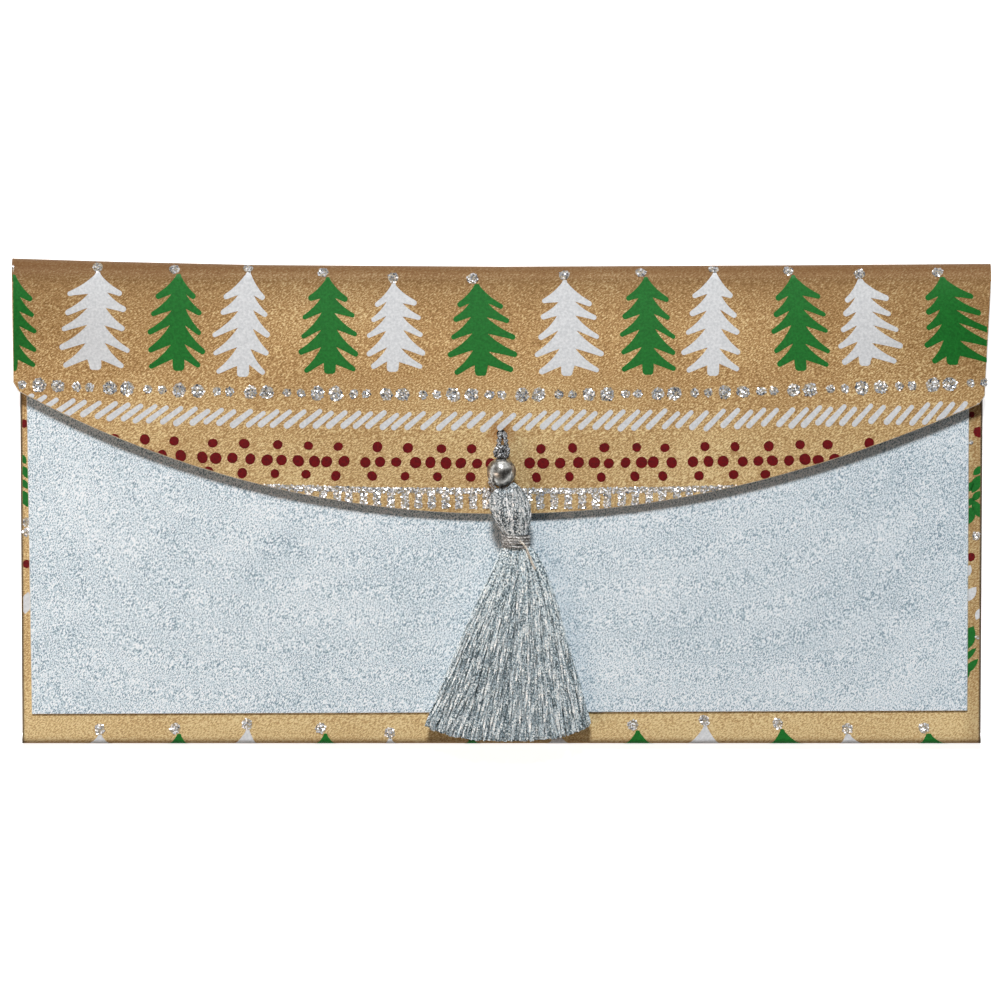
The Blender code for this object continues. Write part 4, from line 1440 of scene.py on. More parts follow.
# %% Rows of red dots
RED_REPEAT, RED_REPEATS, RED_BOWS = 163.5, range(-1, 5), (17, 9.5)
RED_ROWS = (
    (448.5, 145, (0, 29, 69, 100, 133), 1.01),
    (463.3, 163, (0, 18, 39, 54, 70, 88.5, 105, 119, 135, 151), 1.15),
    (477.3, 209, (0, 33, 66, 98, 127), 1.01),
)
BARE_MIDDLE, RED_REACH = 2.2, 90
RED_COLUMN_WANDER, RED_ROW_WANDER, RED_SPREAD = (-1, 1), (-0.6, 0.6), (0.92, 1.08)
red_dots = []
for middle_row, start, offsets, radius in RED_ROWS:
    for repeat in RED_REPEATS:
        for offset in offsets:
            column = start + RED_REPEAT * repeat + offset
            column += fir_chance.uniform(*RED_COLUMN_WANDER)
            row = bowed(column, middle_row, *RED_BOWS) + fir_chance.uniform(*RED_ROW_WANDER)
            x, s = flap_spot(column, row)
            if BARE_MIDDLE < abs(x) < RED_REACH:
                spread = fir_chance.uniform(*RED_SPREAD)
                red_dots.append(disc(x, s, radius * spread, fir_chance))
print("red dots:", len(red_dots))

# %% [markdown]
# The ladder is a rail of glitter with short rungs below it, and the flap's edge cuts through it.
# Rail and rungs are small boxes that follow the bow one by one.

# %% Glitter ladder
LADDER_PITCH, LADDER_FROM, LADDER_TO = 13.6, 261.5, 748
LADDER_ROW, LADDER_BOWS = 491, (19, 14)
RAIL_HALF, RUNG_HALF, RUNG_LENGTH, RUNG_WANDER = 2.8, 3.7, 18, (-1, 1)
ladder = []


def ladder_box(left, right, top, bottom):
    """A small box between columns that follows the ladder's bow."""
    corners = ((left, top), (right, top), (right, bottom), (left, bottom))
    return [flap_spot(c, bowed(c, LADDER_ROW, *LADDER_BOWS) + r) for c, r in corners]


column = LADDER_FROM
while column < LADDER_TO:
    ladder.append(ladder_box(column, column + LADDER_PITCH, -RAIL_HALF, RAIL_HALF))
    rung = column + LADDER_PITCH / 2 + glitter_chance.uniform(*RUNG_WANDER)
    ladder.append(ladder_box(rung - RUNG_HALF, rung + RUNG_HALF, RAIL_HALF, RUNG_LENGTH))
    column += LADDER_PITCH
print("ladder boxes:", len(ladder))

# %% [markdown]
# The firs are taller than the flap's own field, so they are printed on the flap and once more on
# the roll, each trimmed where the other begins. The stars lie on the roll. The lower rows stay on
# the flap.

# %% Print the flap and the roll
for zone in ("flap", "roll"):
    print_on(zone, "green_firs", firs["green"], [green_ink])
    print_on(zone, "white_firs", firs["white"], [white_ink])
print_on("roll", "glitter", stars, [glitter_glue, dull_flake])
print_on("flap", "glitter", stars + ladder, [glitter_glue, flake])
print_on("flap", "glitter_dots", glitter_dots, [glitter_glue, grey_flake])
print_on("flap", "white_dashes", dashes, [white_ink])
print_on("flap", "red_dots", red_dots, [red_ink])

# %% [markdown]
# ## Print on the body
#
# The print repeats along the sheet. Below the flap's repeat comes the body's: the tops of its firs
# show under the card, and the firs go on round the bottom fold. So the back bears the same rows
# upside down. The repeat on the body is a little narrower, tilted and bowed.

# %% Repeats of the print
PRINT_NARROWING, PRINT_ASIDE = 0.988, -1.15
PRINT_START, PRINT_TILT, PRINT_REPEAT = -0.7, 0.0085, 51
PRINT_BOW, BOW_HALF, PRINT_LEFT_END = 1.4, 95, -98


def turned_over(x, s, below):
    """A point of the flap's print in its place on the body."""
    bow = PRINT_BOW * (1 - (x / BOW_HALF) ** 2)
    return x * PRINT_NARROWING + PRINT_ASIDE, PRINT_START + PRINT_TILT * x + bow - s - below


def repeated(outlines):
    """Outlines of the flap's print, turned over on to the body, as often as they fit there."""
    return [
        [turned_over(x, s, below) for x, s in outline]
        for below in (0, PRINT_REPEAT) for outline in outlines if outline[0][0] > PRINT_LEFT_END
    ]


print(f"print: repeats every {PRINT_REPEAT} mm")

# %% [markdown]
# The left and right borders beside the card show slivers of sprigs: pointed leaves, squarish
# berries and sparks of glitter. Only what shows is drawn, because the card hides the rest. Each
# table holds places in the photograph, for a leaf its two ends and, if it is slim, its fullness.

# %% Leaves and berries
LEAF_FULLNESS, LEAF_POWER, LEAF_STEPS = 0.26, 0.8, 6
BERRY_SCALE, BERRY_CORNERS = 0.13, 8


def body_spot(column, row):
    """Sheet coordinates on the front of a point of the photograph."""
    return across(column), up(row) - BOTTOM_FOLD_Y


def leaf(start, end, fullness=LEAF_FULLNESS):
    """A pointed leaf between two points of the photograph."""
    start, end = Vector(body_spot(*start)), Vector(body_spot(*end))
    aside = Vector((start.y - end.y, end.x - start.x)) * fullness
    shares = even_steps(0, 1, LEAF_STEPS)[1:-1]
    sides = [
        [start.lerp(end, t) + side * aside * math.sin(math.pi * t) ** LEAF_POWER for t in shares]
        for side in (1, -1)
    ]
    return [tuple(spot) for spot in [start, *sides[0], end, *reversed(sides[1])]]


def berry(column, row, width):
    """A squarish red berry, its width in columns of the photograph."""
    return disc(*body_spot(column, row), width * BERRY_SCALE, fir_chance, BERRY_CORNERS)


GREEN_LEAVES = (
    ((974, 475), (984, 466)), ((973, 493), (981, 475)), ((967, 492), (976, 481)),
    ((973, 501), (982, 491)), ((966, 506), (976, 498)), ((974, 500), (983, 518)),
    ((966, 526), (975, 506)), ((964, 652), (975.5, 626)), ((964, 662), (978.5, 648), 0.15),
    ((965, 675), (980.5, 659), 0.17), ((968, 680), (969.5, 667)), ((20, 454), (25, 464)),
    ((22, 466), (28, 479)),
    ((20.5, 479), (27, 489)), ((20.5, 490), (29, 508)),
)
WHITE_LEAVES = (
    ((966, 602), (978, 587)), ((978, 620), (983, 608)), ((967, 578), (972, 565)),
    ((26.5, 592), (23, 614)),
)
BERRIES = (
    (972.3, 414.5, 5), (979.5, 432, 9), (972.6, 557, 7), (23.2, 423.5, 7), (25.2, 564, 7),
)
SPARKS = (
    (971.7, 442, 0.5), (977.5, 536, 0.9), (979.6, 637.5, 0.45), (25.5, 522, 0.9),
    (25.5, 532, 0.9),
)
print("sprigs:", len(GREEN_LEAVES) + len(WHITE_LEAVES), "leaves,", len(BERRIES), "berries")

# %% [markdown]
# Now all five colours of the body go on. Each is one piece that carries its share of the repeats
# and of the sprigs, from the front round the bottom fold to the back.

# %% Print the body
sparks = [disc(*body_spot(column, row), radius) for column, row, radius in SPARKS]
leaves = {"green": GREEN_LEAVES, "white": WHITE_LEAVES}
berries = [berry(*spot) for spot in BERRIES]
for colour, ink in (("green", green_ink), ("white", white_ink)):
    sprigs = [leaf(*ends) for ends in leaves[colour]]
    print_on("body", f"{colour}_firs", repeated(firs[colour]) + sprigs, [ink])
glitter = stars + glitter_dots + ladder
print_on("body", "glitter", repeated(glitter) + sparks, [glitter_glue, flake])
print_on("body", "white_dashes", repeated(dashes), [white_ink])
print_on("body", "red_dots", repeated(red_dots) + berries, [red_ink])

# %% [markdown]
# ## The tassel's own frame
#
# The cord, the bead and the tassel lie on the flap at a slight slope, and they hang from the hole.
# Their points are given from the hole, with -Y along the tassel, and turned into place.

# %% Places along the tassel
swing_axis = Vector(joints["tassel_swing"]["axis"])
SLOPE = math.atan2(-swing_axis.y, swing_axis.z)


def on_tassel(x, y, z):
    """A point of the tassel's own frame, in place over the envelope."""
    cosine, sine = math.cos(SLOPE), math.sin(SLOPE)
    return hole + Vector((x, y * cosine - z * sine, y * sine + z * cosine))


CORD_LINE, HEAD_LINE, NECK_LINE, SKIRT_LINE = 3.35, 3.53, 2.88, 1.65
HEAD_START, HEAD_LENGTH, HEAD_LEAN = 11.2, 9.4, 2.6
NECK_START = 20.6
SKIRT_START, SKIRT_LENGTH = 23.9, 39.8
print(f"tassel: slopes {math.degrees(SLOPE):.2f} degrees")

# %% [markdown]
# Cords, knots and threads are all tubes along a line of points. A curve with a bevel is quicker to
# set up, but it can't give the facets that make a foil thread glitter: a tube with few sides and a
# twist. So one function closes rings of points into a surface. Another carries two directions
# along a line, because a tube whose rings turn freely would pinch where the line bends.

# %% Lines and rings
def carried_frames(points):
    """Two directions across a line at each of its points, carried along without a twist."""
    frames = []
    side = Vector((1, 0, 0))
    for index in range(len(points)):
        before, after = points[max(0, index - 1)], points[min(len(points) - 1, index + 1)]
        ahead = (after - before).normalized()
        side = (side - ahead * side.dot(ahead)).normalized()
        frames.append((side, ahead.cross(side)))
    return frames


def skin(made, rings, round_again=False):
    """Faces between rings of points. The ends are capped, unless the last ring meets the first."""
    next_rings = rings[1:] + rings[:1] if round_again else rings[1:]
    for ring, following in zip(rings, next_rings):
        for i in range(len(ring)):
            j = (i + 1) % len(ring)
            made.faces.new((ring[i], ring[j], following[j], following[i]))
    if not round_again:
        made.faces.new(rings[0])
        made.faces.new(rings[-1])


print("rings can be closed")

# %% [markdown]
# A thread is a tube with few sides, and a yarn is made of such tubes that wind round each other.

# %% Threads as tubes
def tube(made, points, radii, sides, twist=0.0, first_turn=0.0):
    """Adds a closed tube along points, with a radius for each and a twist from each to the next."""
    rings = []
    for index, (point, radius, (side, lift)) in enumerate(
        zip(points, radii, carried_frames(points))
    ):
        angles = [first_turn + 2 * math.pi * k / sides + twist * index for k in range(sides)]
        rings.append([
            made.verts.new(point + radius * (side * math.cos(a) + lift * math.sin(a)))
            for a in angles
        ])
    skin(made, rings)


def plied(made, points, offset, radius, turns, plies=2, sides=6):
    """Adds a yarn of plies that wind round each other along points."""
    frames = carried_frames(points)
    last = len(points) - 1
    for ply in range(plies):
        line = []
        for index, (point, (side, lift)) in enumerate(zip(points, frames)):
            angle = 2 * math.pi * (ply / plies + turns * index / last)
            line.append(point + offset * (side * math.cos(angle) + lift * math.sin(angle)))
        tube(made, line, [radius] * len(line), sides)


print("threads can be laid")

# %% [markdown]
# ## Threads and metal
#
# The threads are spun with a metal foil, so each one glitters along its length and no two have the
# same tone. The island number sets each thread a little apart from its neighbours, and a fine noise
# breaks it into dark and bright runs, which are painted glints. The head gets a painted shade
# towards the bead, where it curves away from the light, and the skirt gets a little darker towards
# its hem.

# %% Thread finishes
RUN, RUN_WIDTH, RUN_ROUGH, RUN_RISE = 0.27, 0.33, 0.6, 0.03
TONE_PLACES = (0.42, 0.5, 0.57)
THREAD_ROUGH, THREAD_SHINE = 0.7, 0.35
# The dark colour that is mixed in: a painted shade on the head, a darker tone on the skirt.
DARKENED_THREAD, DARKENING_SHARE = seen(74, 82, 86), 0.5


def thread_finish(name, tones, metallic, darkening=None, apart=0.12):
    """A foil thread of three tones, whose dark and bright runs are painted glints. The fourth
    argument gives two places along Y between which it gets darker, a painted shade on the head,
    and apart is the share of its tone that differs from thread to thread."""
    thread = Surface(name, metallic)
    runs = thread.grain(RUN, RUN_WIDTH, rough=RUN_ROUGH)
    level = runs * (1 - apart) + thread.island() * apart
    colour = thread.ramp(level, *zip(TONE_PLACES, tones))
    if darkening:
        share = share_along(thread, *darkening) * DARKENING_SHARE
        colour = thread.mix(share, colour, DARKENED_THREAD)
    thread.paint(colour)
    thread.shade({"Roughness": THREAD_ROUGH - level * THREAD_SHINE})
    thread.relief(runs, RUN_RISE)
    return thread


SILVER_TONES = (seen(70, 84, 91), seen(190, 213, 224), seen(252, 255, 255))
HEAD_TONES = (seen(50, 58, 62), seen(178, 192, 198), seen(255, 255, 255))
GREY_TONES = (seen(48, 49, 51), seen(92, 93, 95), seen(190, 193, 196))
PALE_TONES = (seen(80, 76, 74), seen(124, 120, 116), seen(206, 206, 204))
TAN_TONES = (seen(162, 152, 140), seen(200, 192, 180), seen(230, 224, 214))
FOIL_TONES = (seen(92, 88, 84), seen(190, 188, 184), seen(255, 255, 252))
# The head's darkening towards the bead is a painted shade; the skirt just gets darker to its hem.
SKIRT_DARK, HEAD_SHADE_PLACE = (-12, -150), (-0.8, 3.2)
silver_thread = thread_finish("silver_thread", SILVER_TONES, metallic=0.4, darkening=SKIRT_DARK)
shaded_head_thread = thread_finish(
    "shaded_silver_thread", HEAD_TONES, metallic=0.4, darkening=HEAD_SHADE_PLACE, apart=0.16
)
grey_thread = thread_finish("grey_thread", GREY_TONES, metallic=0.5)
pale_thread = thread_finish("pale_thread", PALE_TONES, metallic=0.2)
tan_thread = thread_finish("tan_thread", TAN_TONES, metallic=0.1)
foil_thread = thread_finish("foil_thread", FOIL_TONES, metallic=0.4)
print("threads: silver, pressed silver, grey, pale, tan and foil")

# %% [markdown]
# The bead is antique silver: bright where it is rubbed, dark in its small pits. One noise gives the
# tones, the roughness and the pits, so the dark spots are also the deep and dull ones.

# %% Bead metal
PATINA, PATINA_ROUGH, PIT_DEPTH, BEAD_ROUGH = 1.5, 0.6, 0.12, 0.68
PATINA_TONES = (
    (0.36, seen(72, 70, 67)), (0.5, seen(152, 151, 147)), (0.62, seen(214, 214, 210)),
)
bead_metal = Surface("bead_metal", metallic=0.9)
patina = bead_metal.grain(PATINA, detail=4, rough=PATINA_ROUGH)
bead_metal.paint(bead_metal.ramp(patina, *PATINA_TONES))
bead_metal.shade({"Roughness": BEAD_ROUGH - patina * BEAD_ROUGH})
bead_metal.relief(patina, PIT_DEPTH)
print(f"bead metal: spots of {PATINA} mm")

# %% [markdown]
# ## Cord, knots and bead
#
# The cord is two strands twisted together. It comes up through the hole, turns over, and runs
# through the knot and the bead into the head of the tassel. A table gives its way from the hole,
# each row with a share of its length, a point and how far its strands stand apart. It is one piece.

# %% Way of the cord
AT_HOLE, AT_KNOT, IN_BEAD = 0.46, 0.78, 0.3
CORD_WAY = (
    (0.0, (0, 0, -1.6), AT_HOLE), (0.14, (0, 0, 0.2), AT_HOLE),
    (0.2, (0, 0.1, 1.3), 0.5), (0.25, (0, -0.6, 2.3), 0.66),
    (0.33, (0, -2.0, 3.0), AT_KNOT), (0.4, (0, -3.2, CORD_LINE), AT_KNOT),
    (0.48, (0, -4.4, CORD_LINE), IN_BEAD), (1.0, (0, -(HEAD_START + 3.5), CORD_LINE), IN_BEAD),
)
CORD_SMOOTHING, CORD_WINDOW, CORD_ASIDE = 0.03, (-1, -0.5, 0, 0.5, 1), 0.2


def cord_station(t):
    """The cord's middle line and the spread of its two strands, at a share t of its length."""
    for (a, start, near), (b, end, far) in zip(CORD_WAY, CORD_WAY[1:]):
        if t <= b:
            share = (t - a) / (b - a)
            return Vector(start).lerp(Vector(end), share), near + (far - near) * share


def smoothed_station(t):
    """The mean of a few stations near t, which rounds the corners of the way."""
    near = [min(1, max(0, t + CORD_SMOOTHING * k)) for k in CORD_WINDOW]
    stations = [cord_station(place) for place in near]
    centre = sum((spot for spot, _ in stations), Vector()) / len(stations)
    return centre, sum(wide for _, wide in stations) / len(stations)


print("cord: a way of", len(CORD_WAY), "places")

# %% [markdown]
# Each strand is itself two plies, wound the other way round from its neighbour.

# %% Twisted cord
PLY_RADIUS, PLY_OFFSET, PLY_TURNS, PLY_SIDES = 0.3, 0.24, 9, 8
CORD_POINTS = 90
BEND_LOW, BEND_HIGH, BEND_OUT = 0.65, 1.65, 1.3
cord_mesh = bmesh.new()
for side in (-1, 1):
    line = []
    for t in even_steps(0, 1, CORD_POINTS):
        centre, spread = smoothed_station(t)
        line.append(on_tassel(centre.x + CORD_ASIDE + side * spread, centre.y, centre.z))
    plied(cord_mesh, line, PLY_OFFSET, PLY_RADIUS, PLY_TURNS * side, sides=PLY_SIDES)
cord = piece(
    "twisted_cord", cord_mesh, [grey_thread],
    stands_for=["hanging_cord", "cord_bend", "tassel_cord"],
)
BEND_START = on_tassel(0, 0, BEND_LOW) * MM
BEND_END = on_tassel(0, -BEND_OUT, BEND_HIGH) * MM
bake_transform(cord)
print("cord:", len(line), "points on each strand")

# %% [markdown]
# Both knots are overhand knots drawn tight. A ball of thread would do from afar, but close by one
# sees the loops. So a formula leads a line round the cord, with three waves along it on its way,
# and a plied yarn is laid on that line. The knot above the bead is tied twice, one over the other.
# The stop knot lies flat behind the flap.

# %% Knots
LOOP_SHARE, KNOT_POINTS = 1.1, 80
KNOT_CENTRE, KNOT_ASIDE, KNOT_TIES = 3.45, 0.22, ((0.3, 1.12), (1.7, 0.85))
KNOT_WIDTH, KNOT_LENGTH, KNOT_THICKNESS = 1.35, 1.7, 1.2
STOP_MIDDLE, STOP_SIZE = -1.2, (1.3, 0.35, 1.3)
KNOT_YARN, STOP_YARN, KNOT_SIDES = (0.24, 0.32, 10), (0.15, 0.2, 10), 7


def overhand(width, length, thickness):
    """Middle line of an overhand knot drawn tight round the cord, along Y."""
    return [
        Vector((
            width * (math.sin(a) + LOOP_SHARE * math.sin(2 * a)) / (1 + LOOP_SHARE),
            length * math.sin(3 * a) * 0.5,
            thickness * (math.cos(a) - LOOP_SHARE * math.cos(2 * a)) / (1 + LOOP_SHARE),
        ))
        for a in even_steps(0, 2 * math.pi, KNOT_POINTS)
    ]


knot_mesh = bmesh.new()
for spin, size in KNOT_TIES:
    cosine, sine = math.cos(spin), math.sin(spin)
    line = [
        on_tassel(
            p.x * cosine - p.z * sine + KNOT_ASIDE, p.y - KNOT_CENTRE,
            p.x * sine + p.z * cosine + CORD_LINE,
        )
        for p in overhand(KNOT_WIDTH * size, KNOT_LENGTH, KNOT_THICKNESS * size)
    ]
    plied(knot_mesh, line, *KNOT_YARN, sides=KNOT_SIDES)
piece("bead_knot_loops", knot_mesh, [grey_thread], "tassel", ["bead_knot"])
stop_mesh = bmesh.new()
line = [on_tassel(p.x, p.z, STOP_MIDDLE + p.y) for p in overhand(*STOP_SIZE)]
plied(stop_mesh, line, *STOP_YARN, sides=KNOT_SIDES)
piece("stop_knot_loops", stop_mesh, [grey_thread], "cord_anchor", ["stop_knot"])
print("knots: one above the bead, one behind the flap")

# %% [markdown]
# The bead is a cast ball with a real bore, so it is a closed profile of points, turned round the
# cord: over the outside, and back through the bore. It isn't perfectly round, so two scales of
# noise dent it a little, but not near its ends, where it touches the thread.

# %% Bead
BEAD_CENTRE, BEAD_RADIUS, BORE_RADIUS = 7.65, 3.02, 0.85
BEAD_SIDES, BEAD_RINGS = 56, 34
DENTS, DENTED_HALF = ((0.028, 0.8), (0.012, 2.1)), 2.7


def dented(spot):
    """A point of the round bead, moved in or out by its dents."""
    if abs(spot.y) >= DENTED_HALF:
        return spot
    return spot * sum((depth * noise.noise(spot * scale) for depth, scale in DENTS), 1)


bore_angle = math.asin(BORE_RADIUS / BEAD_RADIUS)
profile = [
    (BEAD_RADIUS * math.cos(a), BEAD_RADIUS * math.sin(a))
    for a in even_steps(bore_angle, math.pi - bore_angle, BEAD_RINGS)
]
bead_mesh = bmesh.new()
rings = []
for number in range(BEAD_SIDES):
    angle = 2 * math.pi * number / BEAD_SIDES
    ring = []
    for along, radius in profile:
        spot = dented(Vector((radius * math.cos(angle), along, radius * math.sin(angle))))
        spot = on_tassel(spot.x, spot.y - BEAD_CENTRE, spot.z + CORD_LINE)
        ring.append(bead_mesh.verts.new(spot))
    rings.append(ring)
skin(bead_mesh, rings, round_again=True)
piece("round_bead", bead_mesh, [bead_metal], "bead", ["bead"])
print(f"bead: {2 * BEAD_RADIUS:.2f} mm across")

# %% [markdown]
# ## The tassel's head and neck
#
# The head is the hank of threads folded over the cord. It is round at its shoulders and tapers to
# the neck, and it shows two soft lobes with a cleft between them. Its form could be sculpted, but
# as a function of the place it can carry threads: a share of the length, an angle round it and a
# depth under its face lead to a point.

# %% Outline of the head
SHOULDERS = ((0.0, 0.3), (0.05, 0.58), (0.14, 0.82), (0.28, 0.97), (0.42, 1.0))
TAPERS = ((0.58, 0.9), (0.72, 0.66), (0.86, 0.3), (1.0, 0.0))
HEAD_WIDTH, HEAD_THICKNESS, NECK_WIDTH, NECK_THICKNESS = 8.5, 6.08, 4.3, 3.5
NECK_SPREAD = 0.5
neck_end = NECK_WIDTH + NECK_SPREAD
WIDTHS = [(along, HEAD_WIDTH * size) for along, size in SHOULDERS]
WIDTHS += [(along, neck_end + (HEAD_WIDTH - neck_end) * size) for along, size in TAPERS]
THICKNESSES = [(along, HEAD_THICKNESS * size) for along, size in SHOULDERS]
THICKNESSES += [
    (along, NECK_THICKNESS + (HEAD_THICKNESS - NECK_THICKNESS) * size) for along, size in TAPERS
]
print(f"head: {HEAD_WIDTH} mm wide, {HEAD_THICKNESS} mm thick")

# %% [markdown]
# The lobes and the cleft fade out towards the neck. The threads near the bead have to stay clear of
# it while it turns, so any point that comes too close is moved straight away from its centre.

# %% Places on the head
HEAD_ASIDE, NECK_ASIDE, LEAN_POWER = 0.75, 0.35, 0.9
CLEFT_ANGLE, CLEFT_WIDTH, CLEFT_DEPTH, CLEFT_FADING = 1.75, 0.18, 0.45, 1.1
LOBES, LOBE_REACH = ((0.75, 2.0, 0.42), (2.6, 0.45, 0.3)), 0.42
BEAD_CLEARANCE = 3.42


def bell(angle, middle, width):
    """1 at an angle round the head, and falling off on both sides of it."""
    return math.exp(-((math.sin((angle - middle) / 2) / width) ** 2))


def clear_of_bead(spot):
    """Moves a point of the tassel's own frame out to where a thread clears the turning bead."""
    centre = Vector((0, -BEAD_CENTRE, CORD_LINE))
    away = spot - centre
    return centre + away * max(1, BEAD_CLEARANCE / away.length)


def head_point(share, angle, depth):
    """A point of the head at its share of the length, an angle round it, and a depth under it."""
    height = HEAD_LINE + (NECK_LINE - HEAD_LINE) * smooth_step(share)
    width, thickness = between(WIDTHS, share) / 2, between(THICKNESSES, share) / 2
    fading = 1 - smooth_step(share * CLEFT_FADING)
    cleft = CLEFT_DEPTH * bell(angle, CLEFT_ANGLE, CLEFT_WIDTH) * fading
    rise = sum(lift * bell(angle, middle, spread) for middle, lift, spread in LOBES)
    rise *= 1 - smooth_step(share / LOBE_REACH)
    x = HEAD_ASIDE + (HEAD_LEAN + NECK_ASIDE - HEAD_ASIDE) * share ** LEAN_POWER
    x += (width - depth) * (1 - cleft) * math.cos(angle)
    z = height + (thickness - depth) * (1 - cleft) * math.sin(angle)
    spot = Vector((x, -(HEAD_START + HEAD_LENGTH * share) + rise, z))
    return on_tassel(*clear_of_bead(spot))


print(f"head: threads stay {BEAD_CLEARANCE - BEAD_RADIUS:.1f} mm clear of the bead")

# %% [markdown]
# A hidden core gives the head body, and threads are laid over it one by one, so that light catches
# each of them. Each starts thin, sways a little from side to side and has its own depth.

# %% Head threads
CORE_SIDES, CORE_DEPTH, CORE_START = 40, 0.4, 0.02
HEAD_THREADS, HEAD_STEPS, THREAD_START = 54, 34, 0.015
THREAD_RADIUS, THIN_START, GROWING_STEPS = 0.32, 0.3, 6
THREAD_SIDES, HEAD_TWIST, SWAY_TURNS = 5, 0.3, 5
ANGLE_WANDER, SWAYS, DEPTHS = (-0.3, 0.3), (0.03, 0.1), (0.24, 0.42)
chance = random.Random(7)
head_mesh = bmesh.new()
skin(head_mesh, [
    [
        head_mesh.verts.new(head_point(share, 2 * math.pi * k / CORE_SIDES, CORE_DEPTH))
        for k in range(CORE_SIDES)
    ]
    for share in even_steps(CORE_START, 1, HEAD_STEPS)
])
for number in range(HEAD_THREADS):
    start_angle = 2 * math.pi * (number + chance.uniform(*ANGLE_WANDER)) / HEAD_THREADS
    sway, phase = chance.uniform(*SWAYS), chance.uniform(*ANY_ANGLE)
    depth = chance.uniform(*DEPTHS)
    points = [
        head_point(share, start_angle + sway * math.sin(phase + SWAY_TURNS * share), depth)
        for share in even_steps(THREAD_START, 1, HEAD_STEPS)
    ]
    radii = [
        THREAD_RADIUS * min(1, THIN_START + step / GROWING_STEPS) for step in range(len(points))
    ]
    tube(head_mesh, points, radii, THREAD_SIDES, HEAD_TWIST * chance.choice((-1, 1)))
piece(
    "tassel_head_threads", head_mesh, [shaded_head_thread], "tassel",
    ["tassel_head"],
)
print("head:", HEAD_THREADS, "threads")

# %% [markdown]
# A few wisps of foil stick out between the bead and the head, where the hank was pulled tight.
# Each is a straight twisted sliver with a scattered start and end.

# %% Loose foil between bead and head
WISP_START, WISP_END = ((-0.9, -11.6, 3.6), 0.5), ((-2.1, -9.2, 5.4), 1)
WISP_THREADS, WISP_STEPS, WISP_SPREAD = 9, 8, 0.75
WISP_RADIUS, WISP_SIDES, WISP_TWIST = 0.13, 4, 0.6
wisp_mesh = bmesh.new()
for number in range(WISP_THREADS):
    start, end = [
        Vector(spot) + WISP_SPREAD * Vector([chance.uniform(-share, share) for _ in range(3)])
        for spot, share in (WISP_START, WISP_END)
    ]
    points = [
        on_tassel(*clear_of_bead(start.lerp(end, t))) for t in even_steps(0, 1, WISP_STEPS)
    ]
    tube(wisp_mesh, points, [WISP_RADIUS] * len(points), WISP_SIDES, WISP_TWIST)
piece("loose_foil", wisp_mesh, [foil_thread], "tassel")
print("loose foil:", WISP_THREADS, "wisps")

# %% [markdown]
# The neck is bound with a pale thread, wound ten times. A screw of even turns would look machine
# made, so each turn is a little wider or narrower than the last, and slips up and down on its way
# round.

# %% Binding of the neck
BINDING_TURNS, TURN_POINTS, BINDING_SIDES = 10, 40, 8
BINDING_THREAD, BINDING_LENGTH, BINDING_START = 0.2, 2.4, 0.25
BINDING_OUT, WIDE_WAVE, THICK_WAVE = 0.42, (0.1, 2.1), (0.06, 3.3)
SLIP, SLIP_WAVE, SLOW_SLIP, SLOW_WAVE = 0.22, 2.3, 0.1, 4.7
neck_mesh = bmesh.new()
points = []
for step in range(BINDING_TURNS * TURN_POINTS + 1):
    turn = step / TURN_POINTS
    angle = 2 * math.pi * turn
    wide = neck_end / 2 + BINDING_OUT + WIDE_WAVE[0] * math.sin(turn * WIDE_WAVE[1])
    thick = NECK_THICKNESS / 2 + BINDING_OUT + THICK_WAVE[0] * math.sin(turn * THICK_WAVE[1])
    slip = SLIP * math.sin(angle + SLIP_WAVE * turn) + SLOW_SLIP * math.cos(turn * SLOW_WAVE)
    down = NECK_START + BINDING_START + BINDING_LENGTH * turn / BINDING_TURNS + slip
    points.append(on_tassel(
        HEAD_LEAN + NECK_ASIDE + wide * math.cos(angle), -down,
        NECK_LINE + thick * math.sin(angle),
    ))
tube(neck_mesh, points, [BINDING_THREAD] * len(points), BINDING_SIDES)
piece(
    "neck_binding_turns", neck_mesh, [pale_thread], "tassel",
    ["neck_binding"],
)
print("neck:", BINDING_TURNS, "turns")

# %% [markdown]
# The binding's loose end is a plied tan thread that lies on the skirt. A short list of places from
# the neck downwards gives its way.

# %% Tail of the binding
TAIL = (
    (3.7, -21.7, 5.0), (4.6, -22.5, 5.0), (5.3, -23.6, 4.9), (5.9, -25.2, 4.7),
    (6.5, -26.7, 4.5), (7.5, -28.6, 4.2),
)
TAIL_YARN = (0.14, 0.19, 3)
tail_mesh = bmesh.new()
points = [
    on_tassel(*Vector(a).lerp(Vector(b), t)) for a, b in zip(TAIL, TAIL[1:]) for t in (0, 0.5)
]
plied(tail_mesh, points, *TAIL_YARN)
piece("binding_tail", tail_mesh, [tan_thread], "tassel")
print(f"tail: {(Vector(TAIL[-1]) - Vector(TAIL[0])).length:.1f} mm from end to end")

# %% [markdown]
# ## The skirt
#
# Hundreds of cut threads fan out from the neck. They bulge to one side as they fall, wave a
# little, and end in a bowed, ragged hem. Hair particles would be quick, but they can't be exported
# as solid threads, so each thread is its own thin tube. Its place in the bundle is u across it and
# v through it, both from -1 to 1.

# %% Way of the skirt's threads
END_WIDTH, END_THICKNESS, END_OFFSET, SIDE_THINNING = 33.7, 3.6, 1.35, 0.35
TOP_OVERLAP, TOP_SPREAD, TOP_THICKENING = 0.8, 0.75, 0.2
SIDE_BULGE, FAN_POWER, BULGE_POWER = 0.95, 0.83, 0.4


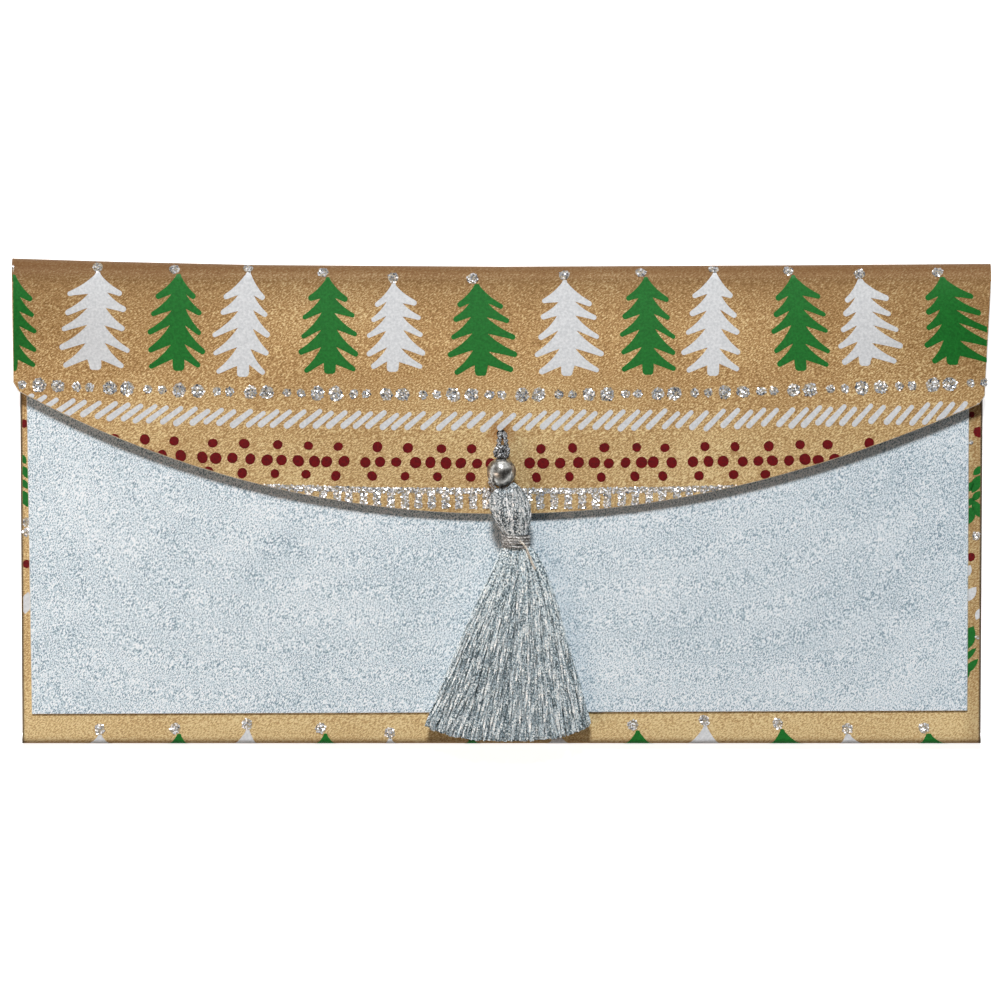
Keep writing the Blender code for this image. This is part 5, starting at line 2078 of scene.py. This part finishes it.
def skirt_point(u, v, share, length):
    """A point on a thread's way from the neck (share 0) to the hem (share 1)."""
    across_top, up_top = u * math.sqrt(1 - v * v / 2), v * math.sqrt(1 - u * u / 2)
    top = Vector((
        HEAD_LEAN + NECK_ASIDE + (NECK_WIDTH / 2 + TOP_SPREAD) * across_top,
        -(SKIRT_START - TOP_OVERLAP),
        NECK_LINE + (NECK_THICKNESS / 2 + TOP_THICKENING) * up_top,
    ))
    end = Vector((
        END_OFFSET + END_WIDTH / 2 * u, -(SKIRT_START + length),
        SKIRT_LINE + END_THICKNESS / 2 * v * (1 - SIDE_THINNING * u * u),
    ))
    spot = top.lerp(end, share)
    bulge = SIDE_BULGE * math.sin(math.pi * share ** BULGE_POWER)
    spot.x = top.x + (end.x - top.x) * share ** FAN_POWER + bulge
    return spot


print(f"skirt: {END_WIDTH} mm wide at its hem")

# %% [markdown]
# The threads stand in columns and layers with some play. Each gets its own length, wave, twist and
# first angle, and some near the sides stray outwards at their ends.

# %% Skirt
SKIRT_COLUMNS, SKIRT_LAYERS, SKIRT_STEPS = 74, 7, 36
COLUMN_PLAY, LAYER_PLAY = (0.1, 0.9), (0.2, 0.8)
END_BOW, HEM_POWER, HEM_RAGS = 3.0, 3, (0, 1.3)
STRAY, STRAY_SHARE, STRAY_SPREAD, STRAY_POWER = 1.6, 0.1, (-0.4, 1), 4
WAVES, WAVE_TURNS = (0.05, 0.3), (0.8, 2.2)
WAVE_LIFT, LIFT_TURNS = 0.4, 6
STRAND_SIDES, STRAND_RADIUS, STRAND_GROWTH = 3, 0.17, 0.12
SKIRT_TWIST, TWIST_SPREAD = 0.5, (0.8, 1.2)


def add_strand(made, u, v):
    """Adds one thread of the skirt."""
    length = SKIRT_LENGTH - END_BOW * abs(u) ** HEM_POWER
    length -= chance.uniform(*HEM_RAGS) * chance.random()
    strays = chance.random() < STRAY_SHARE * abs(u)
    stray = STRAY * chance.uniform(*STRAY_SPREAD) if strays else 0
    wave, turns = chance.uniform(*WAVES), chance.uniform(*WAVE_TURNS)
    phase = chance.uniform(*ANY_ANGLE)
    points, radii = [], []
    for share in even_steps(0, 1, SKIRT_STEPS):
        spot = skirt_point(u, v, share, length)
        swing = wave * share * math.sin(phase + 2 * math.pi * turns * share)
        spot.x += swing + math.copysign(stray * share ** STRAY_POWER, u)
        spot.z += WAVE_LIFT * wave * share * math.cos(phase + LIFT_TURNS * turns * share)
        points.append(on_tassel(*spot))
        radii.append(STRAND_RADIUS + STRAND_GROWTH * share)
    twist = SKIRT_TWIST * chance.uniform(*TWIST_SPREAD)
    tube(made, points, radii, STRAND_SIDES, twist, chance.uniform(*ANY_ANGLE))


skirt_mesh = bmesh.new()
for column in range(SKIRT_COLUMNS):
    for layer in range(SKIRT_LAYERS):
        u = -1 + 2 * (column + chance.uniform(*COLUMN_PLAY)) / SKIRT_COLUMNS
        v = -1 + 2 * (layer + chance.uniform(*LAYER_PLAY)) / SKIRT_LAYERS
        add_strand(skirt_mesh, u, v)
piece(
    "tassel_skirt_threads", skirt_mesh, [silver_thread], "tassel",
    ["tassel_skirt"],
)
print("skirt:", SKIRT_COLUMNS * SKIRT_LAYERS, "threads")
